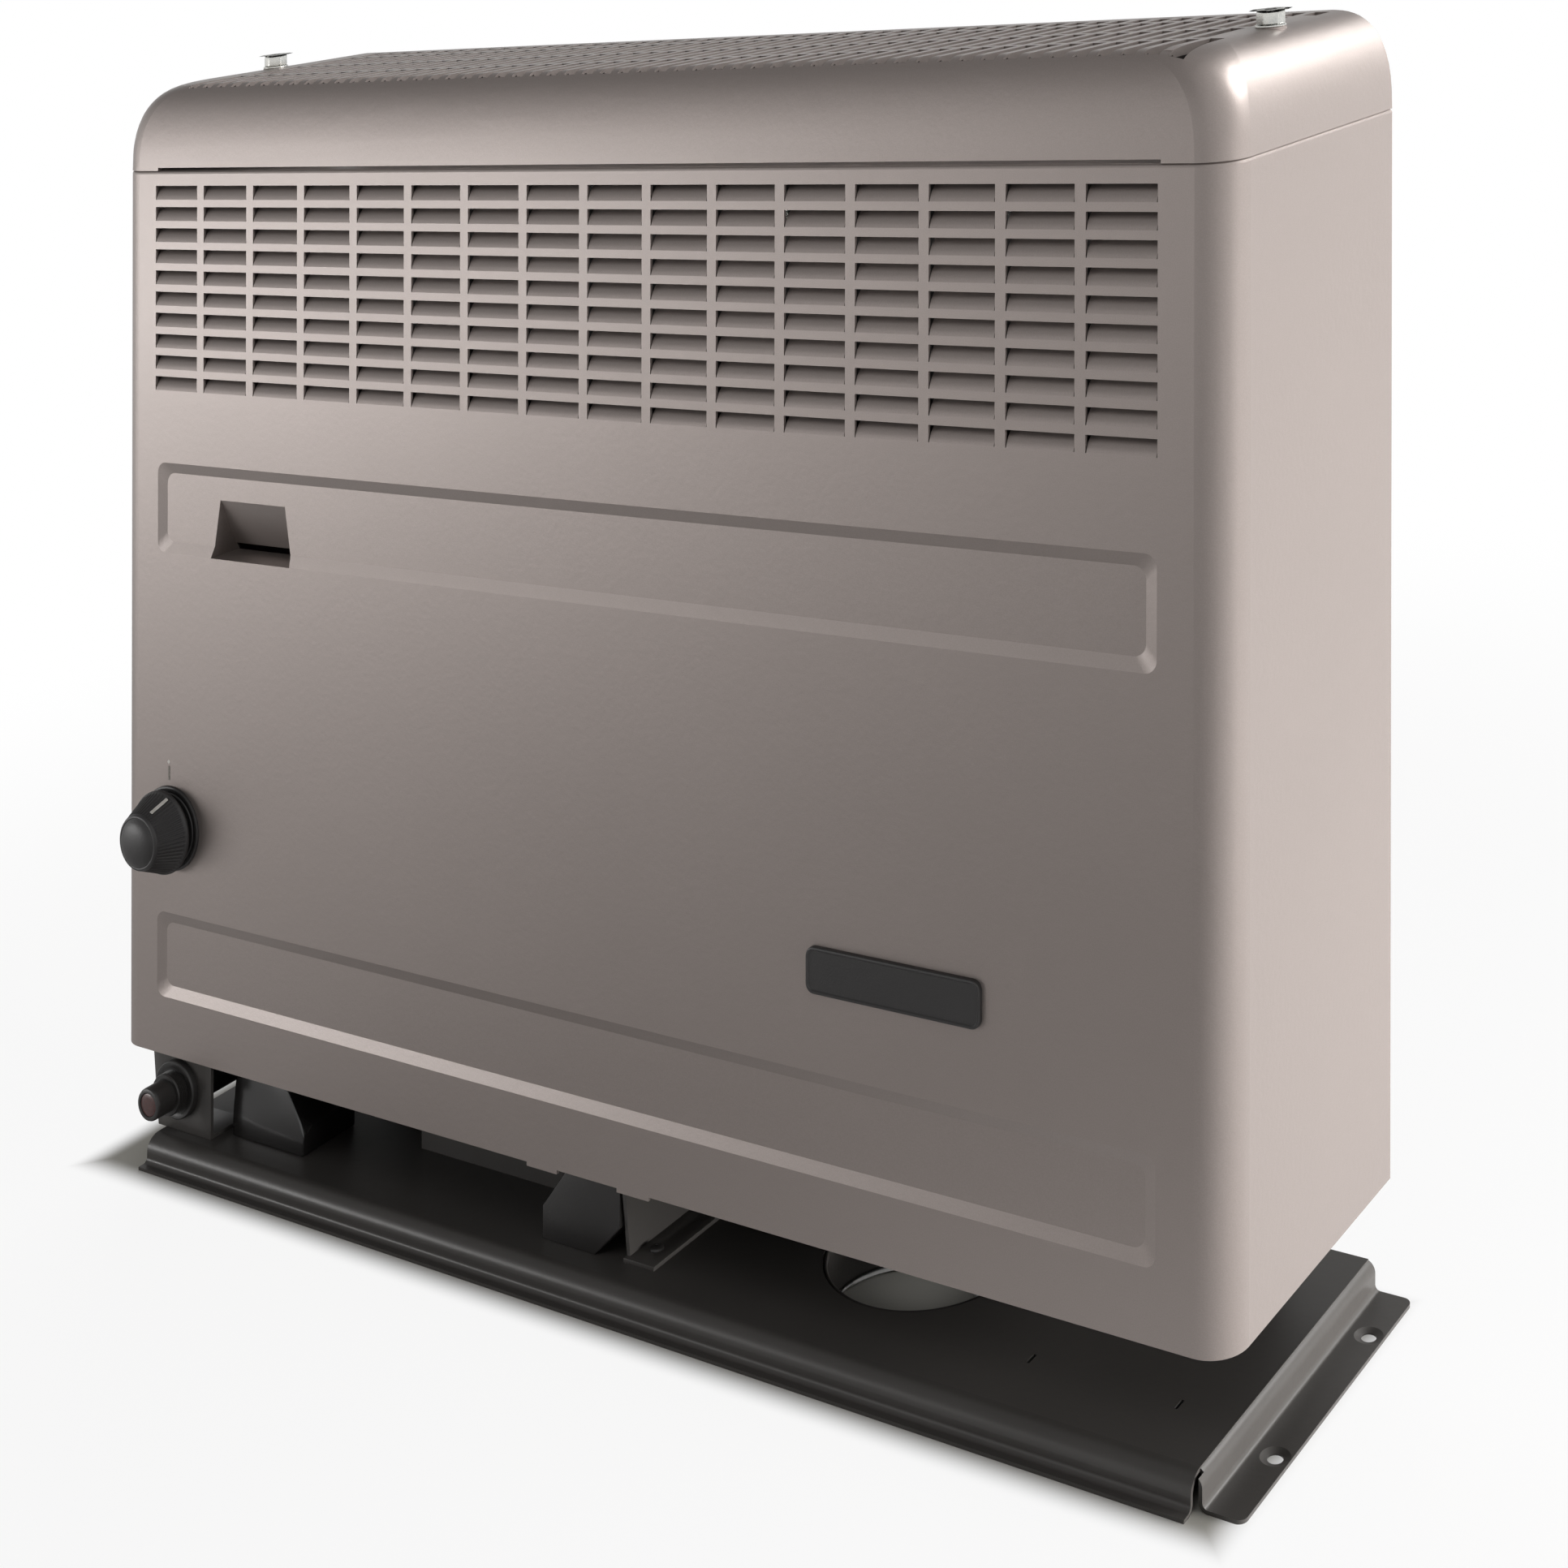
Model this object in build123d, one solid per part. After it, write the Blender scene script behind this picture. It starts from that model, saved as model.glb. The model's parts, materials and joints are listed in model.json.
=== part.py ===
"""Caravan gas heater: a slotted top grille over a louvred sheet-steel housing, on a black pressed tray.

Millimetres, +Z up. The front faces -Y and +X is to the right of someone who looks at the front.
Inside this script the sizes count from three working faces: X from the middle of the housing, Y from
the housing's front face, and Z from the underside of the tray's flange. The last lines move every
piece together so that the part's origin is at the bottom centre of its box.
"""
from build123d import *
from math import cos, radians, sin
import os

# Housing and lid
HOUSING_WIDTH = 490.0
HOUSING_DEPTH = 110.0
HOUSING_BOTTOM = 39.6
SEAM_HEIGHT = 383.0
SHEET = 1.0
CORNER_RADIUS = 12.0
TOP_FLANGE = 9.0
REAR_FLANGE = 12.0
LID_HEIGHT = 32.5
LID_SIDE_SHOULDER = 22.6
LID_FRONT_SHOULDER = 10.8
LID_FULLNESS = 2.57
LID_CORNER_GROWTH = 10.0
LID_STEPS = 8
LIP_DEPTH = 3.0
LIP_FRONT = 9.0
SEAM_GAP = 1.2
TOP_ROLL = 1.2
TOP_ROLL_STEPS = 3
LID_FOOT = 2.0
SEAM_GAP_MARGIN = 23.0

# Lid slots
SLOT_RIGHT_MARGIN = 19.0
SLOT_LEFT_MARGIN = 31.4
SLOT_PITCH = 8.17
SLOT_WIDTH = 5.0
SLOT_FRONT = 6.3
SLOT_BACK = 6.0
SLOT_LENGTH = 26.0
SLOT_SHORTEST = 8.0
SLOT_WEB = 3.2
SLOT_FLOOR = 5.5

# Louvres
LOUVRE_MARGIN = 21.9
LOUVRE_ROWS = 10
LOUVRE_PITCH_X = 28.0
LOUVRE_PITCH_Z = 8.24
LOUVRE_WIDTH = 24.2
LOUVRE_HEIGHT = 5.4
LOUVRE_DROP = 5.8
LOUVRE_RISE = 4.9
LOUVRE_LEAN = 10.0
LOUVRE_CURVE = 55.0
LOUVRE_SHEET = 0.8
LOUVRE_END_GAP = 0.3

# Long recessed panels, finger pocket and front details
PANEL_LEFT_MARGIN = 23.4
PANEL_RIGHT_MARGIN = 24.0
PANEL_BEVEL = 4.2
PANEL_DEPTH = 1.3
UPPER_PANEL_DROP = 113.4
UPPER_PANEL_HEIGHT = 35.0
LOWER_PANEL_HEIGHT = 33.0
LOWER_PANEL_RISE = 22.4
POCKET_MARGIN = 52.9
POCKET_TOP_WIDTH = 36.0
POCKET_BOTTOM_WIDTH = 43.8
POCKET_DROP = 12.9
POCKET_HEIGHT = 22.2
POCKET_DEPTH = 13.0
POCKET_SLIT = 3.0
TAB_WIDTH = 14.0
TAB_DROP = 1.4
TAB_CENTRES = (-19.2, 21.8)
PLATE_MARGIN = 117.0
PLATE_RISE = 88.4
PLATE_WIDTH = 66.0
PLATE_HEIGHT = 15.0
PLATE_THICKNESS = 1.6
PLATE_ROUNDING = 3.0

# Tray
TRAY_SHEET = 1.2
TRAY_TOP = 10.6
TRAY_LEFT_INSET = 27.0
TRAY_RIGHT_INSET = 6.0
TRAY_FRONT = -7.4
REAR_REACH = 2.0
TRAY_SHOULDER = 5.6
TRAY_FRONT_CREASE = 1.8
TRAY_SIDE_SHOULDER = 4.0
TRAY_SIDE_CREASE = 1.8
CORNER_NOTCH = 2.4
FRONT_LIP = 4.0
SIDE_FLANGE = 13.0
FLANGE_CORNER = 3.0
FLANGE_HOLE_OFFSET = 8.2
FLANGE_HOLE_FRONT = 24.4
FLANGE_HOLE_BACK = 21.0
FLANGE_HOLE_RADIUS = 2.4
FLANGE_DIMPLE_RADIUS = 4.6
FLANGE_DIMPLE_DEPTH = 0.7
SLIT_MARGINS = (73.0, 21.3)
SLIT_Y = 20.5
SLIT_LENGTH = 4.6
SLIT_WIDTH = 1.0
DUCT_MARGIN = 136.6
DUCT_BACK = 54.9
DUCT_RADIUS = 34.2
COLLAR_WALL = 1.4
COLLAR_LIP = 3.0
FLOOR_CLEARANCE = 0.4
TRAY_SCREW_DROP = 2.4

# Knob, its bezel, spindle, plunger and valve
KNOB_MARGIN = 31.5
KNOB_RISE = 88.5
BEZEL_RADIUS = 16.4
BEZEL_BORE = 11.0
BEZEL_FLANGE = 1.2
BEZEL_BARREL = 13.0
HOUSING_KNOB_HOLE = 13.3
KNOB_BACK = 4.1
KNOB_BASE_RADIUS = 15.8
KNOB_CAP_RADIUS = 10.6
KNOB_LENGTH = 11.5
KNOB_DOME = 2.6
KNOB_RIBS = 40
KNOB_RIB_DEPTH = 0.55
KNOB_BORE = 3.0
KNOB_TRAVEL = 2.5
KNOB_TURN = 270.0
SPINDLE_RADIUS = 3.0
SPINDLE_CLEARANCE = 0.06
SPINDLE_COLLAR_RADIUS = 5.0
SPINDLE_COLLAR = 2.0
VALVE_BACK = 28.0
VALVE_WIDTH = 30.0
VALVE_HEIGHT = 40.0
VALVE_DEPTH = 36.0
VALVE_SNOUT_RADIUS = 9.0
VALVE_SNOUT = 12.0
VALVE_WALL = 6.0
KNOB_SOCKET = 8.0
PLUNGER_RADIUS = 6.0
PLUNGER_LENGTH = 6.0
PLUNGER_CHAMBER = 12.0
SPRING_WIRE = 0.8
SPRING_RADIUS = 5.2
SPRING_TURNS = 4
PORT_RADIUS = 6.5
PORT_LENGTH = 8.0
GAS_IN_OFFSET = 8.3
GAS_OUT_OFFSET = 8.7
VALVE_POST_OFFSET = 1.3

# Igniter
IGNITER_MARGIN = 7.6
IGNITER_RISE = 16.6
IGNITER_PLATE_Y = 1.6
IGNITER_PLATE_SHEET = 1.5
IGNITER_PLATE_REACH = 9.5
IGNITER_PLATE_WIDTH = 35.5
IGNITER_PLATE_HEIGHT = 49.4
IGNITER_PLATE_FOOT = 16.0
IGNITER_BARREL_RADIUS = 8.5
IGNITER_BARREL = 34.0
IGNITER_NUT_RADIUS = 11.2
IGNITER_NUT = 2.6
IGNITER_SLEEVE_RADIUS = 8.0
IGNITER_SLEEVE = 4.0
BUTTON_RADIUS = 6.3
BUTTON_BORE = 6.36
BUTTON_FRONT = -13.2
BUTTON_TRAVEL = 4.0
BUTTON_REACH = 14.0
BUTTON_INSERT_RADIUS = 4.4
BUTTON_INSERT = 0.8
IGNITER_FOOT_REACH = 4.6
IGNITER_SPRING_RADIUS = 3.6
IGNITER_SPRING_SPACE = 8.0

# Burner chamber and the boxes that show under the housing
PILOT_BOX_MARGIN = 31.0
PILOT_BOX_WIDTH = 39.5
PILOT_BOX_FRONT = 7.8
PILOT_BOX_DEPTH = 26.0
PILOT_BOX_TOP = 58.0
PILOT_BOX_SIDE = 23.4
PILOT_BOX_TOP_WIDTH = 8.0
SIGHT_BOX_LEFT = -24.0
SIGHT_BOX_RIGHT = 11.2
SIGHT_BOX_FRONT = 5.6
SIGHT_BOX_DEPTH = 26.0
SIGHT_BOX_TOP = 52.0
SIGHT_BOX_CHAMFER = 11.5
SIGHT_WINDOW_RADIUS = 7.0
SIGHT_GLASS = 2.0
BRACKET_X = 12.1
BRACKET_SHEET = 1.5
BRACKET_FRONT = 6.5
BRACKET_LEG_FRONT = 8.5
BRACKET_BACK = 7.5
BRACKET_FOOT = 13.5
BRACKET_DROP = 2.0
BRACKET_SCREW_OFFSET = 6.9
BRACKET_SCREW_FRONT = 9.2
BRACKET_SCREW_BACK = 14.5
BRACKET_SLANT = 2.4
BRACKET_SLANT_TOP = 33.0
BOX_WALL = 2.0

# Heat exchanger, burner and gas line
EXCHANGER_LEFT_MARGIN = 125.0
EXCHANGER_RIGHT_MARGIN = 49.0
EXCHANGER_BOTTOM = 76.0
EXCHANGER_DROP = 31.0
EXCHANGER_FRONT_DEPTH = 36.0
EXCHANGER_REAR_DEPTH = 35.0
EXCHANGER_BACK = 13.0
EXCHANGER_WALL = 1.5
EXCHANGER_RADIUS = 10.0
EXCHANGER_RIM = 8.0
EXCHANGER_RIM_SHEET = 1.5
GASKET_THICKNESS = 2.0
RIB_COUNT = 7
RIB_RADIUS = 3.8
RIM_BOLT_INSET = 4.0
RIM_BOLT_RADIUS = 1.9
FOOT_MARGIN = 44.0
FOOT_WIDTH = 24.0
FOOT_DEPTH = 26.0
MOUTH_INSET = 10.0
CHAMBER_MARGIN = 10.0
CHAMBER_DEPTH = 60.0
CHAMBER_BACK = 5.0
CHAMBER_WALL = 2.0
BURNER_RADIUS = 11.0
BURNER_BORE = 9.0
BURNER_Z = 44.0
BURNER_GAP = 4.0
BURNER_END_GAP = 22.1
BURNER_SLOTS = 12
JET_RADIUS = 4.0
JET_LENGTH = 14.0
JET_HEX = 6.0
JET_FLATS = 13.0
JET_BORE = 0.8
PILOT_OFFSET = 40.0
PILOT_BACK = 12.0
PILOT_RADIUS = 4.0
PILOT_TOP = 58.0
PROBE_Z = 63.0
PROBE_RADIUS = 2.5
PROBE_TIP = 1.0
THERMOCOUPLE_BACK = 8.0
ELECTRODE_BACK = 16.0
LEAD_OFFSET = 22.7
LEAD_RADIUS = 0.9
LEAD_BEND = 5.0
FLUE_MARGIN = 46.0
FLUE_DROP = 52.0
FLUE_RADIUS = 27.5
FLUE_WALL = 1.0
FLUE_BAND = 6.0
FLUE_BAND_THICKNESS = 1.5
PIPE_RADIUS = 4.0
PIPE_WALL = 1.0
PIPE_BEND = 12.0
INLET_HEIGHT = 30.0
NUT_FLATS = 17.0
NUT_LENGTH = 12.0
SENSOR_RADIUS = 4.0
SENSOR_LENGTH = 60.0
SENSOR_START = 30.0
SENSOR_BACK = 9.0
SENSOR_RISE = 7.0
SADDLE_SHARES = (0.2, 0.8)

# Frame behind the housing, and fasteners
FRAME_SHEET = 1.2
FRAME_BAR = 26.0
FRAME_DROP = 2.0
FRAME_FOOT = 14.0
FRAME_SIDE_GAP = 1.0
FRAME_NECK = 12.0
FRAME_FLUE_GAP = 16.0
FRAME_LEG_MARGIN = 65.0
FRAME_SCREW_BACK = 7.0
CLIP_WIDTH = 16.0
CLIP_LOW = 110.0
CLIP_DROP = 53.0
CLIP_SHEET = 0.8
SCREW_RADIUS = 2.4
SCREW_CLEARANCE = 0.1
HEX_FLATS = 8.0
HEX_HEIGHT = 4.4
HEX_FLANGE_RADIUS = 4.9
HEX_FLANGE = 1.2
LID_SCREW_MARGIN = 19.0
LID_SCREW_BACK = 48.0
LID_SCREW_LENGTH = 14.0
LID_BRACKET_WIDTH = 20.0
LID_BRACKET_SHEET = 1.2
LID_BRACKET_DROP = 3.8
LID_BRACKET_MARGIN = 12.3
LID_BRACKET_TAB = 13.0
SMALL_SCREW_RADIUS = 1.5
SMALL_HEAD_RADIUS = 2.6
SMALL_HEAD = 1.2
VALVE_SCREW_OFFSET = 4.7
VALVE_SCREW_BACK = 8.0
FOOT_SCREW_OFFSET = 14.0
FOOT_SCREW_FRONT = 13.0

# Places that follow from the sizes above
LEFT_SIDE = -HOUSING_WIDTH / 2
RIGHT_SIDE = HOUSING_WIDTH / 2
SEAM_GAP_END = RIGHT_SIDE - SEAM_GAP_MARGIN
SLOT_COUNT = int((HOUSING_WIDTH - SLOT_RIGHT_MARGIN - SLOT_LEFT_MARGIN - SLOT_WIDTH) / SLOT_PITCH) + 1
SLOT_FIRST_X = RIGHT_SIDE - SLOT_RIGHT_MARGIN - SLOT_WIDTH / 2
SLOT_LAST_X = SLOT_FIRST_X - (SLOT_COUNT - 1) * SLOT_PITCH
SLOT_END = HOUSING_DEPTH - SLOT_BACK
SLOT_ROWS = int((SLOT_END - SLOT_SHORTEST - SLOT_FRONT) / (SLOT_LENGTH + SLOT_WEB)) + 1
LOUVRE_COLUMNS = int((HOUSING_WIDTH - 2 * LOUVRE_MARGIN - LOUVRE_WIDTH) / LOUVRE_PITCH_X) + 1
LOUVRE_LEFT = LEFT_SIDE + LOUVRE_MARGIN
LOUVRE_TOP = SEAM_HEIGHT - LOUVRE_DROP
PANEL_LEFT = LEFT_SIDE + PANEL_LEFT_MARGIN
PANEL_RIGHT = RIGHT_SIDE - PANEL_RIGHT_MARGIN
UPPER_PANEL_TOP = SEAM_HEIGHT - UPPER_PANEL_DROP
UPPER_PANEL_BOTTOM = UPPER_PANEL_TOP - UPPER_PANEL_HEIGHT
LOWER_PANEL_BOTTOM = HOUSING_BOTTOM + LOWER_PANEL_RISE
LOWER_PANEL_TOP = LOWER_PANEL_BOTTOM + LOWER_PANEL_HEIGHT
POCKET_CENTRE = PANEL_LEFT + POCKET_MARGIN
POCKET_TOP = UPPER_PANEL_TOP - POCKET_DROP
POCKET_BOTTOM = POCKET_TOP - POCKET_HEIGHT
PLATE_CENTRE_X = RIGHT_SIDE - PLATE_MARGIN
PLATE_CENTRE_Z = HOUSING_BOTTOM + PLATE_RISE
TRAY_LEFT = LEFT_SIDE + TRAY_LEFT_INSET
TRAY_RIGHT = RIGHT_SIDE - TRAY_RIGHT_INSET
TRAY_REAR = HOUSING_DEPTH + REAR_REACH
FLANGE_HOLE_X = TRAY_RIGHT + FLANGE_HOLE_OFFSET
FLANGE_HOLE_Y = (FLANGE_HOLE_FRONT, HOUSING_DEPTH - FLANGE_HOLE_BACK)
SLIT_X = tuple(TRAY_RIGHT - margin for margin in SLIT_MARGINS)
DUCT_X = TRAY_RIGHT - DUCT_MARGIN
DUCT_Y = HOUSING_DEPTH - DUCT_BACK
KNOB_X = LEFT_SIDE + KNOB_MARGIN
KNOB_Z = HOUSING_BOTTOM + KNOB_RISE
VALVE_FRONT = HOUSING_DEPTH - VALVE_BACK - VALVE_DEPTH
GAS_IN_X = KNOB_X - GAS_IN_OFFSET
GAS_OUT_X = KNOB_X + GAS_OUT_OFFSET
VALVE_POST_LEFT = KNOB_X - VALVE_POST_OFFSET
VALVE_SCREW = (KNOB_X + VALVE_SCREW_OFFSET, VALVE_FRONT + VALVE_DEPTH + VALVE_SCREW_BACK)
LEAD_X = KNOB_X + LEAD_OFFSET
IGNITER_X = TRAY_LEFT + IGNITER_MARGIN
IGNITER_Z = TRAY_TOP + IGNITER_RISE
IGNITER_PLATE_LEFT = TRAY_LEFT - IGNITER_PLATE_REACH
IGNITER_PLATE_RIGHT = IGNITER_PLATE_LEFT + IGNITER_PLATE_WIDTH
IGNITER_PLATE_TOP = TRAY_TOP + IGNITER_PLATE_HEIGHT
IGNITER_FOOT_LEFT = TRAY_LEFT - IGNITER_FOOT_REACH
PILOT_BOX_LEFT = TRAY_LEFT + PILOT_BOX_MARGIN
PILOT_BOX_RIGHT = PILOT_BOX_LEFT + PILOT_BOX_WIDTH
EXCHANGER_LEFT = LEFT_SIDE + EXCHANGER_LEFT_MARGIN
EXCHANGER_RIGHT = RIGHT_SIDE - EXCHANGER_RIGHT_MARGIN
EXCHANGER_TOP = SEAM_HEIGHT - EXCHANGER_DROP
EXCHANGER_REAR = HOUSING_DEPTH - EXCHANGER_BACK
EXCHANGER_SEAM_Y = EXCHANGER_REAR - EXCHANGER_REAR_DEPTH
EXCHANGER_FRONT = EXCHANGER_SEAM_Y - EXCHANGER_FRONT_DEPTH
CHAMBER_LEFT = EXCHANGER_LEFT + CHAMBER_MARGIN
CHAMBER_RIGHT = BRACKET_X
CHAMBER_REAR = EXCHANGER_REAR - CHAMBER_BACK
CHAMBER_FRONT = CHAMBER_REAR - CHAMBER_DEPTH
BRACKET_REAR = CHAMBER_REAR - BRACKET_BACK
BRACKET_TOP = EXCHANGER_BOTTOM - BRACKET_DROP
BRACKET_SCREW_X = BRACKET_X + BRACKET_SCREW_OFFSET
BRACKET_SCREW_Y = (BRACKET_FRONT + BRACKET_SCREW_FRONT, BRACKET_REAR - BRACKET_SCREW_BACK)
BURNER_Y = (CHAMBER_FRONT + CHAMBER_REAR) / 2
BURNER_START = CHAMBER_LEFT + BURNER_GAP
BURNER_END = CHAMBER_RIGHT - BURNER_END_GAP
PILOT_X = CHAMBER_LEFT + PILOT_OFFSET
PILOT_Y = CHAMBER_REAR - PILOT_BACK
THERMOCOUPLE_Y = CHAMBER_REAR - THERMOCOUPLE_BACK
ELECTRODE_Y = CHAMBER_REAR - ELECTRODE_BACK
FOOT_LEFT = EXCHANGER_RIGHT - FOOT_MARGIN
FOOT_FRONT = CHAMBER_REAR - FOOT_DEPTH
FOOT_SCREW_X = FOOT_LEFT + FOOT_SCREW_OFFSET
FOOT_SCREW_Y = FOOT_FRONT + FOOT_SCREW_FRONT
FLUE_X = EXCHANGER_RIGHT - FLUE_MARGIN
FLUE_Z = EXCHANGER_TOP - FLUE_DROP
FLUE_END = HOUSING_DEPTH + REAR_REACH
SENSOR_Y = HOUSING_DEPTH - SENSOR_BACK
FRAME_TOP = SEAM_HEIGHT - FRAME_DROP
FRAME_LEG_X = RIGHT_SIDE - FRAME_LEG_MARGIN
FRAME_SCREW_Y = HOUSING_DEPTH - FRAME_SCREW_BACK
CLIP_HEIGHTS = (CLIP_LOW, SEAM_HEIGHT - CLIP_DROP)
LID_SCREW_X = RIGHT_SIDE - LID_SCREW_MARGIN
LID_SCREW_Y = HOUSING_DEPTH - LID_SCREW_BACK
LID_BRACKET_RISE = LID_HEIGHT - LID_BRACKET_DROP
LID_BRACKET_LEG = RIGHT_SIDE - LID_BRACKET_MARGIN


def block(x0, x1, y0, y1, z0, z1):
    """A box between two corners."""
    return Pos((x0 + x1) / 2, (y0 + y1) / 2, (z0 + z1) / 2) * Box(x1 - x0, y1 - y0, z1 - z0)


def rod_x(radius, x0, x1, y, z):
    """A round bar along X."""
    return Pos((x0 + x1) / 2, y, z) * (Rot(0, 90, 0) * Cylinder(radius, x1 - x0))


def rod_y(radius, x, y0, y1, z):
    """A round bar along Y."""
    return Pos(x, (y0 + y1) / 2, z) * (Rot(90, 0, 0) * Cylinder(radius, y1 - y0))


def rod_z(radius, x, y, z0, z1):
    """A round bar along Z."""
    return Pos(x, y, (z0 + z1) / 2) * Cylinder(radius, z1 - z0)


def plan(inset, radius, back, front=None):
    """The housing's outline from above, drawn in by an inset: rounded at the front, square behind."""
    half = HOUSING_WIDTH / 2 - inset
    front = inset if front is None else front
    edges = [
        Line((-half, back), (-half, front + radius)),
        CenterArc((-half + radius, front + radius), radius, 180, 90),
        Line((-half + radius, front), (half - radius, front)),
        CenterArc((half - radius, front + radius), radius, 270, 90),
        Line((half, front + radius), (half, back)),
        Line((half, back), (-half, back)),
    ]
    return make_face(edges)


def upright(inset, radius, back, z0, z1):
    """The plan outline carried straight up from z0 to z1."""
    return Pos(0, 0, z0) * extrude(plan(inset, radius, back), z1 - z0)


def yz_prism(points, x0, x1):
    """A closed outline of (y, z) points carried along X."""
    face = make_face(Polyline(*[(y, z) for y, z in points], close=True))
    return Pos(x0, 0, 0) * extrude(Plane.YZ * face, x1 - x0)


def xz_prism(points, y0, y1):
    """A closed outline of (x, z) points carried along Y."""
    face = make_face(Polyline(*[(x, -z) for x, z in points], close=True))
    return Pos(0, y0, 0) * (Rot(-90, 0, 0) * extrude(face, y1 - y0))


def tapered_panel(x0, x1, z0, z1, bevel, depth, start=0.0):
    """The space of a pressed-in panel: full size at the front face, smaller by the bevel behind."""
    middle = ((x0 + x1) / 2, (z0 + z1) / 2)
    sections = []
    for y, shrink in ((start, 0.0), (start + depth, bevel)):
        shape = RectangleRounded(x1 - x0 - 2 * shrink, z1 - z0 - 2 * shrink, bevel)
        sections.append(Pos(middle[0], y, middle[1]) * (Rot(90, 0, 0) * shape))
    return loft(sections)


def hexagon_z(flats, x, y, z0, z1):
    """A hexagonal bar along Z."""
    shape = RegularPolygon(flats / 2, 6, major_radius=False)
    return Pos(x, y, z0) * extrude(shape, z1 - z0)


def louvre_windows():
    """The openings that the louvres stand in, one block for each."""
    windows = []
    for column in range(LOUVRE_COLUMNS):
        x0 = LOUVRE_LEFT + column * LOUVRE_PITCH_X
        for row in range(LOUVRE_ROWS):
            z1 = LOUVRE_TOP - row * LOUVRE_PITCH_Z
            windows.append(block(x0, x0 + LOUVRE_WIDTH, -SHEET, 2 * SHEET, z1 - LOUVRE_HEIGHT, z1))
    return windows


def louvre_blade(x0, z_foot):
    """One blade: it leaves the sheet at its foot, leans inwards and curves as it rises."""
    blade = LOUVRE_SHEET
    lean, curve = radians(LOUVRE_LEAN), radians(LOUVRE_CURVE)
    radius = LOUVRE_RISE / (sin(curve) - sin(lean))
    centre = (radius * cos(lean), z_foot - radius * sin(lean))
    outer = CenterArc(centre, radius, 180 - LOUVRE_CURVE, LOUVRE_CURVE - LOUVRE_LEAN)
    inner = CenterArc(centre, radius - blade, 180 - LOUVRE_CURVE, LOUVRE_CURVE - LOUVRE_LEAN)
    foot = z_foot - blade
    edges = [
        outer,
        Line(outer @ 0, inner @ 0),
        inner,
        Line(inner @ 1, (blade, foot)),
        Line((blade, foot), (0, foot)),
        Line((0, foot), outer @ 1),
    ]
    face = Plane.YZ * make_face(edges)
    return Pos(x0, 0, 0) * extrude(face, LOUVRE_WIDTH - 2 * LOUVRE_END_GAP)


def louvre_blades():
    """All the blades, a column at a time."""
    blades = []
    for column in range(LOUVRE_COLUMNS):
        x0 = LOUVRE_LEFT + column * LOUVRE_PITCH_X + LOUVRE_END_GAP
        for row in range(LOUVRE_ROWS):
            foot = LOUVRE_TOP - row * LOUVRE_PITCH_Z - LOUVRE_HEIGHT
            blades.append(louvre_blade(x0, foot))
    return blades


def pocket_space(extra):
    """The finger pocket: a wedge that deepens downwards, wider at its foot, grown by extra."""
    front = -SHEET
    top, bottom = POCKET_TOP + extra, POCKET_BOTTOM - extra
    wedge = yz_prism([(front, top), (PANEL_DEPTH, top), (POCKET_DEPTH + extra, bottom), (front, bottom)],
                     -HOUSING_WIDTH / 2, 0)
    top_half = POCKET_TOP_WIDTH / 2 + extra
    bottom_half = POCKET_BOTTOM_WIDTH / 2 + extra
    outline = xz_prism([(POCKET_CENTRE - top_half, top), (POCKET_CENTRE + top_half, top),
                        (POCKET_CENTRE + bottom_half, bottom), (POCKET_CENTRE - bottom_half, bottom)],
                       front, POCKET_DEPTH + extra)
    return wedge & outline


def rolled_outline():
    """The case's outer form: straight up, then rolled over at the top to make the seam's lower edge."""
    sections = []
    for step in range(TOP_ROLL_STEPS + 1):
        angle = radians(90 * step / TOP_ROLL_STEPS)
        inset = TOP_ROLL * (1 - cos(angle))
        level = SEAM_HEIGHT - TOP_ROLL * (1 - sin(angle))
        sections.append(Pos(0, 0, level) * plan(inset, CORNER_RADIUS - inset, HOUSING_DEPTH))
    return upright(0, CORNER_RADIUS, HOUSING_DEPTH, HOUSING_BOTTOM, SEAM_HEIGHT - TOP_ROLL) + loft(sections, ruled=True)


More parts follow.
